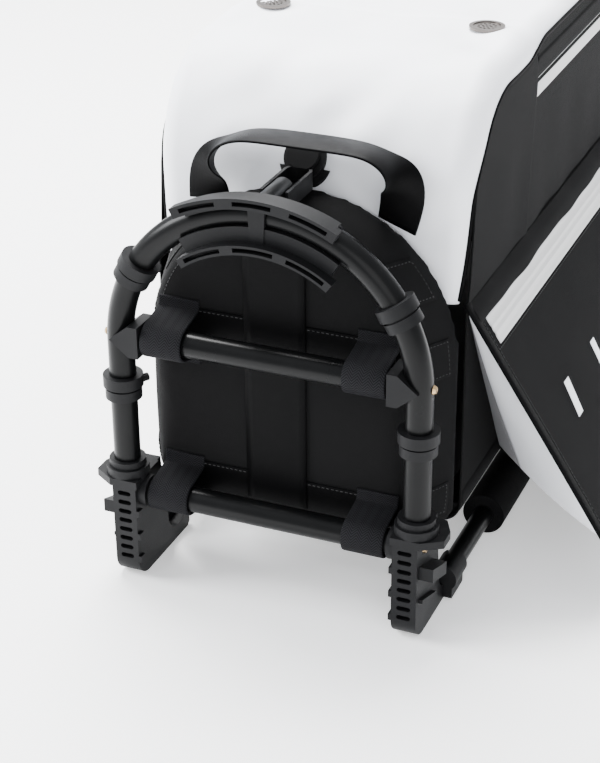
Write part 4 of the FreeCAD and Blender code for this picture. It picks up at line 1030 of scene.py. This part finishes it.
# %% Straps laid on the pad
def press_on(piece, target, lift):
    """Moves a piece's points to a target's surface, lift millimetres outside it."""
    press = piece.modifiers.new("press", "SHRINKWRAP")
    press.target = target
    press.wrap_method, press.wrap_mode = "NEAREST_SURFACEPOINT", "ABOVE_SURFACE"
    press.offset = lift * MM
    return applied(piece)


def laid(name, grid, target, thickness, lift=0.3):
    """Grid pressed on to a target's surface, then thickened outwards."""
    grid = np.asarray(grid, float)
    cloth = flat_cut(grid)[:, ::-1]
    piece = make_object(name, grid.reshape(-1, 3), grid_faces(*grid.shape[:2]), cloth)
    return solid(press_on(piece, target, lift), thickness, inward=False)


def flat_strap(name, start, end, width, target, thickness=1.5, lift=0.3):
    """Straight strap on the face of the cap, from one (x, z) to another."""
    start, end = np.array(start, float), np.array(end, float)
    length = np.linalg.norm(end - start)
    along = (end - start) / length
    side = np.array([along[1], -along[0]])
    t = np.linspace(0.0, 1.0, max(int(length / 4), 4))[:, None, None]
    q = np.linspace(-width / 2, width / 2, 9)[None, :, None]
    flat = start + (end - start) * t + side * q
    grid = np.stack([flat[:, :, 0], np.full(flat.shape[:2], cap_y0 - 4.0), flat[:, :, 1]], axis=2)
    return laid(name, grid, target, thickness, lift)


face_top = spring_z + CAP_FACE_HALF
STRAP_REACH, STRAP_W = 116.0, 40.0
cross = joined("front_cross_straps", [flat_strap("cross_strap", (-STRAP_REACH, z), (STRAP_REACH, z),
                                                 STRAP_W, front_pad) for z in STRAP_Z])
centre = flat_strap("front_centre_band", (sum(BAND_X) / 2, CAP_FACE_BOTTOM + 4.0),
                    (sum(BAND_X) / 2, face_top - 5.0), BAND_X[1] - BAND_X[0], front_pad, 1.3, 1.7)
for strap in (cross, centre):
    both_ends(strap, strap.name.replace("front", "rear"), satin_web, "webbing")
print("straps laid")

# %% [markdown]
# ## Loops round the crossbars
#
# Four short loops of herringbone webbing tie each end to its two crossbars.  Each is a D: flat
# against the pad, then straight to the bar and once round it with a little slack.

# %% Crossbar loops
LOOP_X, LOOP_W, LOOP_T = 101.0, 42.0, 2.8
LOOP_TAIL, LOOP_REACH = 9.0, 24.0
bar_r = (span("front_upper_crossbar")[1][2] - span("front_upper_crossbar")[0][2]) / 2
loop_r = bar_r + 1.8 + LOOP_T / 2


def bar_loop(x, z, seed):
    """Band round the bar: tail up the pad, tangent to the bar, round its front and back below."""
    pad_y = cap_y0 - LOOP_T / 2 - 0.4
    reach = math.hypot(pad_y, LOOP_REACH)
    touch = math.atan2(LOOP_REACH, pad_y) + math.acos(loop_r / reach)
    turn = np.linspace(touch, 2 * math.pi - touch, 40)
    around = np.column_stack([loop_r * np.cos(turn), loop_r * np.sin(turn)])
    bow = 1.2 * math.sin(seed * 2.1)
    tail = np.array([[pad_y, LOOP_REACH + LOOP_TAIL], [pad_y - 0.3, LOOP_REACH + 2.0],
                     [pad_y - 2.5, LOOP_REACH - 2.5 + bow * 0.3]])
    half_path = np.concatenate([tail, around])
    path = evenly(np.concatenate([half_path, tail[::-1] * [1, -1]]), 110)
    slack = 1.0 + 0.03 * bow * np.sin(np.linspace(0, math.pi, len(path)))
    path = np.column_stack([np.full(len(path), x), path[:, 0] * slack, path[:, 1] * slack + z])
    across = np.tile([1.0, 0.0, 0.0], (len(path), 1))
    up = np.cross(across, courses(path))
    return carried("bar_loop", path, across, up, flat_section(LOOP_W, LOOP_T, 5))


loops = joined("front_loops", [bar_loop(side * LOOP_X, z, index + 2 * side)
                               for index, z in enumerate(bar_z) for side in (-1, 1)])
both_ends(loops, "rear_loops", herringbone_web, "webbing", ["front_bar_loops"], ["rear_bar_loops"])
print("8 crossbar loops")

# %% [markdown]
# ## Loops over the arch
#
# Two short straps hang the padded end from the arch tube.  Bending a flat strap with modifiers would
# work, but the strap lies on a circle twice, round the tube and round the arch, so its profile is
# drawn once and swept through an angle about the arch's centre.

# %% Arch loops
STRAP_ANGLES = (10.0, 27.0)


def arch_loop_strap(side):
    """Strap over the arch tube, swept round the arch's centre: from the top of the tube, round it and
    straight down to the rim of the cap."""
    wrap = tube_r + 0.5 + LOOP_T / 2
    cap_y, drop = cap_y0 + 3.0, CAP_FACE_HALF + 2.0 - half
    touch = math.atan2(drop, cap_y) + math.acos(wrap / math.hypot(cap_y, drop))
    turn = np.linspace(math.pi / 2 - 0.02, touch, 14)
    profile = np.column_stack([wrap * np.cos(turn), half + wrap * np.sin(turn)])
    profile = evenly(np.concatenate([profile, [[cap_y, half + drop], [cap_y + 14.0, half + drop + 3.0]]]), 40)
    angle = np.radians(np.linspace(*STRAP_ANGLES, 16)) * side
    grid = np.stack([profile[:, 1][None, :] * np.sin(angle)[:, None],
                     np.broadcast_to(profile[:, 0], (16, 40)),
                     spring_z + profile[:, 1][None, :] * np.cos(angle)[:, None]], axis=2)
    return cloth_grid("arch_loop", grid, LOOP_T, 0, flip=side > 0)


over_arch = joined("arch_loops_woven", [arch_loop_strap(side) for side in (-1, 1)])
dress(over_arch, herringbone_web, "chassis", "webbing", "arch_loops")
print("2 arch loops")

# %% [markdown]
# ## Grab handle
#
# A stiff strap of satin webbing, sewn into the seam on top of the padded end.  At the seam it lies
# along the arch; towards the top it turns over until it lies flat, as a real loop of webbing does.

# %% Handle
HANDLE_W, HANDLE_T = 40.0, 2.6
HANDLE_BASE_X, HANDLE_BASE_Y, HANDLE_TOP_Y = 94.0, 88.0, 66.0
HANDLE_LEAN = 14.0
handle_base_z = back_spring + math.sqrt(bag_half ** 2 - HANDLE_BASE_X ** 2) + 8.0
HANDLE_TOP_Z = span("grab_handle")[1][2] - 2.0


def handle_strap():
    """Centre line x = base * t + 30 sin(pi t) + 3 sin(3 pi t) + lean, y and z rise with 1 - |t|^3.2;
    the width turns from the arch's tangent at the seams to lie along Y at the top."""
    t = np.linspace(-1.0, 1.0, 90)
    height = 1 - np.abs(t) ** 3.2
    path = np.column_stack([
        HANDLE_BASE_X * t + 30 * np.sin(math.pi * t) + 3 * np.sin(3 * math.pi * t)
        + HANDLE_LEAN * height,
        HANDLE_BASE_Y + (HANDLE_TOP_Y - HANDLE_BASE_Y) * height,
        handle_base_z + (HANDLE_TOP_Z - handle_base_z) * height])
    base_angle = math.atan2(handle_base_z - back_spring, HANDLE_BASE_X)
    twist = np.abs(t) ** 2.2
    sign = np.sign(t)
    width = np.column_stack([math.sin(base_angle) * twist * sign, 1 - twist,
                             -math.cos(base_angle) * twist])
    width = unit(width + 1e-9)
    up = unit(np.cross(width, courses(path)))
    width = unit(np.cross(courses(path), up))
    return carried("grab_strap", path, width, up, flat_section(HANDLE_W, HANDLE_T, 5))


handle = handle_strap()
dress(handle, satin_web, "handle", "webbing", "grab_handle")
print("handle", round(HANDLE_TOP_Z - handle_base_z), "mm high")

# %% [markdown]
# ## Side pocket
#
# A large flap pocket of black cloth leans out from the side of the bag.  Its near and far ends are
# closed by soft triangular gussets in white, so it can spread; a black binding covers the seam
# between gusset and flap.  The zip tape is sewn on the flap under a narrow folded edge.

# %% Outer panel, underside and gussets
POCKET_Y0, POCKET_Y1 = 105.0, 795.0
POCKET_TOP = np.array([bag_half, 299.0])
POCKET_TIP = np.array([302.0, 78.0])
POCKET_LOW = 66.0
slope_run = np.linalg.norm(POCKET_TIP - POCKET_TOP)
slope_down = (POCKET_TIP - POCKET_TOP) / slope_run
slope_out = np.array([-slope_down[1], slope_down[0]])
ZIP_DROP, ZIP_W = 24.0, 27.0


def on_flap(drop, y, lift=0.0):
    """Point on the flap: drop below its top seam, at y, and lift off its surface."""
    drop, y, lift = np.broadcast_arrays(*(np.asarray(a, float) for a in (drop, y, lift)))
    flat = POCKET_TOP + drop[..., None] * slope_down + lift[..., None] * slope_out
    return np.stack([flat[..., 0], y, flat[..., 1]], axis=-1)


def flap_lift(drop, y):
    """Padding of the flap: a low crown below the zip with a few shallow folds, none at its edges."""
    low = np.clip((drop - ZIP_DROP - ZIP_W) / (slope_run - ZIP_DROP - ZIP_W), 0.0, 1.0)
    along = np.clip((y - POCKET_Y0) / (POCKET_Y1 - POCKET_Y0), 0.0, 1.0)
    crown = np.sin(math.pi * low) * np.sin(math.pi * along) ** 0.5
    folds = np.sin(y / 47.0 + drop / 61.0) + 0.7 * np.sin(y / 23.0 - drop / 38.0 + 1.3)
    return 5.0 * crown + 0.9 * folds * crown


drop_rows = np.linspace(0.0, slope_run, 50)
y_columns = np.linspace(POCKET_Y0, POCKET_Y1, 120)
drop_grid, y_grid = np.meshgrid(drop_rows, y_columns, indexing="ij")
flap = cloth_grid("pocket_flap", on_flap(drop_grid, y_grid, flap_lift(drop_grid, y_grid)), 1.8, flip=True)
dress(flap, black_cloth, "chassis", "black_fabric", "side_pocket")

GUSSET_TOP = np.array([bag_half + 1.0, POCKET_Y0, 297.0])
GUSSET_TIP = np.array([300.0, 106.0, 79.0])
GUSSET_FOLD = np.array([bag_half + 1.0, 232.0, 86.0])


def gusset(t0, t1, columns, name):
    """Part of the end triangle between two shares of its width.  The cloth sags outwards in the
    middle and its lower edge hangs in a curve."""
    t = np.linspace(t0, t1, columns)[None, :, None]
    s = np.linspace(0.0, 1.0, 44)[:, None, None]
    edge = GUSSET_FOLD + (GUSSET_TIP - GUSSET_FOLD) * t
    reach = s * (1 + 0.025 * np.sin(math.pi * t))
    grid = GUSSET_TOP + (edge - GUSSET_TOP) * reach
    out = unit(np.cross(GUSSET_FOLD - GUSSET_TOP, GUSSET_TIP - GUSSET_TOP))
    out = out * -np.sign(out[1])
    sag = 2.5 * np.sin(math.pi * t) * s ** 0.8 + 2.0 * np.sin(2 * math.pi * t) * np.sin(math.pi * s)
    return cloth_grid(name, grid + out * sag, 1.4, flip=False)


STRIP_SHARE = 0.24
pocket_ends = [(gusset(0.0, STRIP_SHARE, 9, "gusset_strip"), grey_cloth),
               (gusset(STRIP_SHARE, 1.0, 26, "gusset_white"), white_cloth)]
for piece, cloth in pocket_ends:
    both_ends(piece, piece.name + "_far", cloth, "white_fabric")


def pocket_underside():
    """Bottom of the pocket, its ends cut along the gussets and curled up to meet them."""
    x = np.linspace(bag_half, 297.0, 24)[:, None]
    share = (x - bag_half) / (POCKET_TIP[0] - bag_half)
    start = GUSSET_FOLD[1] + (GUSSET_TIP[1] - GUSSET_FOLD[1]) * share + 2.0
    y = start + (far_arch_y - 2 * start) * np.linspace(0.0, 1.0, 80)[None, :]
    off = np.minimum(y - start, far_arch_y - start - y)
    z = POCKET_LOW + 15.0 * np.exp(-off / 10.0) + 12.0 * np.maximum(share - 0.9, 0.0) * 10 * share
    return np.stack([np.broadcast_to(x, y.shape), y, z], axis=2)


under = cloth_grid("pocket_underside", pocket_underside(), 1.6)
dress(under, black_cloth, "chassis", "black_fabric")
print("pocket flap", round(slope_run), "x", round(POCKET_Y1 - POCKET_Y0), "mm")

# %% [markdown]
# ## Trim of the pocket
#
# The binding is a tape folded over the raw edges, so it is a rounded flat section carried along them.
# The zip tape is a narrow surface with its ridges in its profile.  The folded edge above the zip is a
# loose strip with a slow wave in its lower edge.  The marks are plain slanted bars.

# %% Binding, folded edge, zip and marks
def flap_path(drop0, drop1, y, lift, count=60):
    """Straight path down the flap at one y."""
    drop = np.linspace(drop0, drop1, count)
    return on_flap(drop, np.full(count, y), lift + flap_lift(drop, np.full(count, y)))


out_of_flap = np.array([slope_out[0], 0.0, slope_out[1]])
edge_bindings = []
for y, name in ((POCKET_Y0 + 2.0, "binding_near"), (POCKET_Y1 - 2.0, "binding_far")):
    path = flap_path(-1.0, slope_run + 2.0, y, -0.5)
    edge_bindings.append(carried(name, path, np.tile([0.0, -1.0, 0.0], (60, 1)),
                                 np.tile(out_of_flap, (60, 1)), flat_section(11.0, 4.6, 6)))
low_path = on_flap(np.full(90, slope_run + 0.5), np.linspace(POCKET_Y0, POCKET_Y1, 90), -1.5)
edge_bindings.append(carried("binding_low", low_path, np.tile([slope_down[0], 0.0, slope_down[1]], (90, 1)),
                             np.tile(out_of_flap, (90, 1)), flat_section(9.0, 4.0, 6)))
dress(joined("pocket_binding", edge_bindings), binding, "chassis", "black_fabric")

tape_y = np.linspace(POCKET_Y0 + 19.0, POCKET_Y1 - 28.0, 180)
tape_drop = np.linspace(ZIP_DROP - 1.0, ZIP_DROP + ZIP_W + 1.0, 33)
across_tape = tape_drop - ZIP_DROP - ZIP_W / 2
drop_grid, y_grid = np.meshgrid(tape_drop, tape_y, indexing="ij")
tape = cloth_grid("pocket_tape", on_flap(drop_grid, y_grid, tape_lift(across_tape)[:, None]), 1.0,
                  flip=True)
dress(tape, zip_cloth, "chassis", "zip_tape", "pocket_zip_tape")

fold_y_row = np.linspace(POCKET_Y0 + 2.0, POCKET_Y1 - 2.0, 170)
edge_row = ZIP_DROP + 0.4 + 0.9 * np.sin(fold_y_row / 31.0) + 0.5 * np.sin(fold_y_row / 13.0 + 1.0)
down_share = np.linspace(0.0, 1.0, 12)[:, None]
fold_drop = 0.5 + (edge_row[None, :] - 0.5) * down_share
fold_lift = 1.6 + 1.5 * np.sin(math.pi * down_share ** 1.4) + 0.5 * np.sin(fold_y_row / 19.0)[None, :]
folded = cloth_grid("pocket_folded_edge", on_flap(fold_drop, fold_y_row[None, :], fold_lift), 1.6,
                    rounds=1, flip=True)
dress(folded, black_cloth, "chassis", "black_fabric")

MARK_COUNT, MARK_PITCH, MARK_Y0, MARK_DROP = 6, 94.0, 195.0, 132.0
MARK_H, MARK_W, MARK_SLANT = 36.0, 13.0, 0.24


def slanted_bar(y):
    """Plain slanted bar printed on the flap."""
    drop = np.linspace(MARK_DROP, MARK_DROP + MARK_H, 10)[:, None]
    across = np.linspace(-MARK_W / 2, MARK_W / 2, 5)[None, :] - (drop - MARK_DROP - MARK_H / 2) * MARK_SLANT
    at = y + across
    drop = np.broadcast_to(drop, at.shape)
    return cloth_grid("slanted_bar", on_flap(drop, at, flap_lift(drop, at) + 0.45), 0.4, flip=True)


marks = joined("slanted_bars", [slanted_bar(MARK_Y0 + MARK_PITCH * k) for k in range(MARK_COUNT)])
dress(marks, white_cloth, "chassis", "white_fabric")
print("pocket zip", round(tape_y[-1] - tape_y[0]), "mm,", MARK_COUNT, "slanted bars")

# %% [markdown]
# ## Underside and the far white panel
#
# The underside is one cloth sheet that turns up to the padded ends.  At the wheeled end a white
# panel comes down from the zip to the arch of the padded end, like the one at the standing end.

# %% Underside
LOW_R = 22.0


def underside():
    """Profile across: up each side by a corner round; profile along: flat with turned-up ends."""
    turn = np.linspace(0.0, math.pi / 2, 8)
    right = np.column_stack([bag_half - LOW_R + LOW_R * np.sin(turn), LOW_R * (1 - np.cos(turn))])
    right = np.concatenate([right, [[bag_half, LOW_R + 14.0]]])
    across = np.concatenate([right[::-1] * [-1, 1], [[0.0, 0.0]], right])
    y = np.linspace(bag_y0 + 2.0, bag_y1 - 2.0, 90)
    end = np.minimum(y - y[0], y[-1] - y)
    curl = LOW_R - np.sqrt(np.maximum(LOW_R ** 2 - np.maximum(LOW_R - end, 0.0) ** 2, 0.0))
    z = bag_low + np.maximum(across[None, :, 1], curl[:, None])
    return np.stack([np.broadcast_to(across[:, 0], z.shape), np.broadcast_to(y[:, None], z.shape), z],
                    axis=2)


base = cloth_grid("bag_underside", underside(), 1.8)
dress(base, black_cloth, "chassis", "black_fabric", "bag_floor", "bag_lower_ends")


def far_panel():
    """White panel between the zip and the arch of the far padded end, round both vertical edges."""
    turn = np.linspace(math.pi / 2, 0.0, 12)
    edge_x, edge_in = flat_half + EDGE_R * np.sin(turn), EDGE_R * (1 - np.cos(turn))
    side = np.array([[bag_half, EDGE_R + 14.0]])
    right = np.concatenate([side, np.column_stack([edge_x, edge_in])])
    middle = np.column_stack([np.linspace(flat_half, -flat_half, 42)[1:-1], np.zeros(40)])
    across = np.concatenate([right, middle, right[::-1] * [-1, 1]])
    x, inset = across[:, 0], across[:, 1]
    low = np.where(np.abs(x) < bag_half - 0.5, arch_top(x, bag_half, back_spring) - 3.0, back_spring + 20)
    low = np.maximum(low, back_spring + 20)
    high = split_z - tape_half + 3.0
    z = low + (high - low) * np.linspace(0.0, 1.0, 26)[:, None]
    radius = np.maximum(TOP_R - inset, 0.0)
    y = far_round_y + np.sqrt(np.maximum(radius ** 2 - np.maximum(z - round_z, 0.0) ** 2, 0.0))
    grid = np.stack([np.broadcast_to(x, z.shape), y, z], axis=2)
    return cloth_grid("far_white_panel", grid, 1.6, flip=True)


far_white = far_panel()
dress(far_white, white_cloth, "chassis", "white_fabric", "bag_far_panel")
print("underside and far panel done")

# %% [markdown]
# ## Stitching
#
# Every seam that shows has its own row of stitches, each a small spindle of thread lying along the
# seam.  All the stitches of one colour on one body are one object.

# %% Stitch rows
def pressed(points, target, lift):
    """Points moved to a target's surface, lift millimetres outside it."""
    guide = press_on(make_object("guide", points, []), target, lift)
    moved = coordinates(guide)
    bpy.data.objects.remove(guide)
    return moved


def stitches(name, path, up, pitch=4.4, length=3.1, radius=0.42):
    """Row of spindles along a path: rings of four points at the ends of each, and two tips."""
    path = np.asarray(path, float)
    up = unit(np.asarray(up, float) + np.zeros_like(path))
    count = max(int(lengths_along(path)[-1] / pitch), 2)
    both = evenly(np.concatenate([path, up], axis=1), count)
    spot, out = both[:, :3], unit(both[:, 3:])
    along = courses(spot)
    across = np.cross(along, out)
    ring = np.array([[1.0, 0.0], [0.0, 1.0], [-1.0, 0.0], [0.0, -1.0]]) * radius
    stations = np.array([-0.28, 0.28]) * length
    body = (spot[:, None, None] + along[:, None, None] * stations[None, :, None, None]
            + across[:, None, None] * ring[None, None, :, :1] + out[:, None, None] * ring[None, None, :, 1:])
    tips = spot[:, None] + along[:, None] * (np.array([-0.5, 0.5]) * length)[None, :, None] \
        - out[:, None] * radius
    points = np.concatenate([body.reshape(count, 8, 3), tips], axis=1)
    k = np.arange(4)
    n = (k + 1) % 4
    quads = np.stack([k + 4, n + 4, n, k], axis=1)
    caps = np.concatenate([np.stack([k, n, np.full(4, 8)], axis=1),
                           np.stack([n + 4, k + 4, np.full(4, 9)], axis=1)])
    start = np.arange(count)[:, None, None] * 10
    faces = list((quads[None] + start).reshape(-1, 4)) + list((caps[None] + start).reshape(-1, 3))
    return make_object(name, points.reshape(-1, 3), faces)


def face_row(x, z):
    """Stitch row on the face of the near pad through points (x, z)."""
    flat = evenly(np.column_stack([x, z]), 90)
    points = np.column_stack([flat[:, 0], np.full(90, cap_y0 - 5.0), flat[:, 1]])
    return stitches("row", pressed(points, front_pad, 2.2), [0.0, -1.0, 0.0])


def arch_row(radius, depth, low, high):
    """Stitch row along the arch of the near pad between two angles."""
    angle = np.radians(np.linspace(low, high, 160))
    points = np.column_stack([radius * np.cos(angle), np.full(160, cap_y0 + depth),
                              spring_z + radius * np.sin(angle)])
    out = np.column_stack([np.cos(angle), np.full(160, -1.0), np.sin(angle)])
    return stitches("row", pressed(points, front_pad, 0.5), out)


cap_rows = [arch_row(CAP_FACE_HALF - 5.0, 1.0, -4.0, 184.0)]
STRAP_SEAM = STRAP_W / 2 - 2.5
for x in (BAND_X[0] + 2.5, BAND_X[1] - 2.5):
    cap_rows.append(face_row([x, x], [CAP_FACE_BOTTOM + 8.0, face_top - 8.0]))
for strap_z in STRAP_Z:
    for edge in (-STRAP_SEAM, STRAP_SEAM):
        cap_rows.append(face_row([-112.0, BAND_X[0] - 3.0], [strap_z + edge] * 2))
        cap_rows.append(face_row([BAND_X[1] + 3.0, 112.0], [strap_z + edge] * 2))
cap_stitches = joined("front_pad_stitches", cap_rows)
both_ends(cap_stitches, "rear_pad_stitches", grey_thread, "black_fabric")

strip_t = np.linspace(0.06, 1.0, 50)[:, None]
strip_edge = GUSSET_FOLD + (GUSSET_TIP - GUSSET_FOLD) * (STRIP_SHARE - 0.03)
strip_path = GUSSET_TOP + (strip_edge - GUSSET_TOP) * strip_t
strip_path = pressed(strip_path, pocket_ends[0][0], 0.4)
gusset_row = stitches("gusset_stitches", strip_path, [0.3, -0.9, 0.2], 3.6, 2.4)
both_ends(gusset_row, "gusset_stitches_far", white_cloth, "white_fabric")

flap_rows = [stitches("row", flap_path(4.0, slope_run - 6.0, y, 0.5), out_of_flap)
             for y in (POCKET_Y0 + 10.5, POCKET_Y1 - 10.5)]
for drop in (ZIP_DROP + ZIP_W + 4.0, slope_run - 9.0):
    y_row = np.linspace(POCKET_Y0 + 12.0, POCKET_Y1 - 12.0, 150)
    flap_rows.append(stitches("row", on_flap(np.full(150, drop), y_row,
                                             flap_lift(np.full(150, drop), y_row) + 0.3), out_of_flap))
dress(joined("flap_stitches", flap_rows), grey_thread, "chassis", "black_fabric")
print("stitches sewn")

# %% [markdown]
# ## Tie patches
#
# On the gusset of each padded end, level with the collars and crossbars, are small patches of
# webbing with a boxed row of stitches.  They hold the cloth to the frame.

# %% Patches
def tie_patch(side, z, half_h=19.0):
    """Patch on the side of the near pad: from just behind its front edge half way back."""
    depth = np.linspace(13.0, 50.0, 14)[:, None]
    rise = np.linspace(-half_h, half_h, 14)[None, :]
    share = depth / (cap_y1 - cap_y0)
    spread = CAP_FACE_HALF + (bag_half - CAP_FACE_HALF) * share + 3.0
    centre = spring_z - CAP_BACK_DROP * share
    up = z + rise - 6.0 * share
    reach = np.sqrt(np.maximum(spread ** 2 - np.maximum(up - centre, 0.0) ** 2, 1.0))
    grid = np.stack([side * reach + 0 * up, cap_y0 + depth + 0 * up, up], axis=2)
    return grid[::-1] if side > 0 else grid


PATCH_Z = (bar_z[1] + 14.0, bar_z[0] - 2.0, 336.0)
patches, patch_rows = [], []
for side in (-1, 1):
    for z in PATCH_Z:
        grid = tie_patch(side, z)
        patches.append(laid("tie_patch", grid, front_pad, 0.9, 0.1))
        ring = np.concatenate([grid[1:-1, 1], grid[-2, 1:-1], grid[1:-1, -2][::-1], grid[1, 1:-1][::-1]])
        patch_rows.append(stitches("row", pressed(ring, front_pad, 1.1), [side, -0.3, 0.0]))
patches = joined("front_tie_patches", patches)
patch_rows = joined("front_patch_stitches", patch_rows)
for piece, cloth in ((patches, black_cloth), (patch_rows, black_thread)):
    both_ends(piece, piece.name.replace("front", "rear"), cloth, "webbing")
print(len(PATCH_Z) * 4, "tie patches")

# %% [markdown]
# ## The cloth panels
#
# Each panel of the bag is one cut of cloth.  Its flat size is read from its own cloth coordinates,
# and its area is half of its surface, since a panel has a front and a back.

def panel(piece, held, *rests_on):
    """Reads a piece's cloth coordinates and adds up its area, half of its surface."""
    flat = np.empty(len(piece.data.loops) * 2, np.float32)
    piece.data.uv_layers["cloth"].data.foreach_get("uv", flat)
    area = np.empty(len(piece.data.polygons), np.float32)
    piece.data.polygons.foreach_get("area", area)
    area = float(area.sum()) / 2


for name in ("white_top", "side_facing_right", "side_facing_left", "side_wall_right", "side_wall_left",
             "pocket_flap", "pocket_underside", "bag_underside", "far_white_panel"):
    panel(bpy.data.objects[name], "stretched", "front_pad", "rear_pad")
for name in ("gusset_strip", "gusset_strip_far", "gusset_white", "gusset_white_far"):
    panel(bpy.data.objects[name], "hung", "pocket_flap")
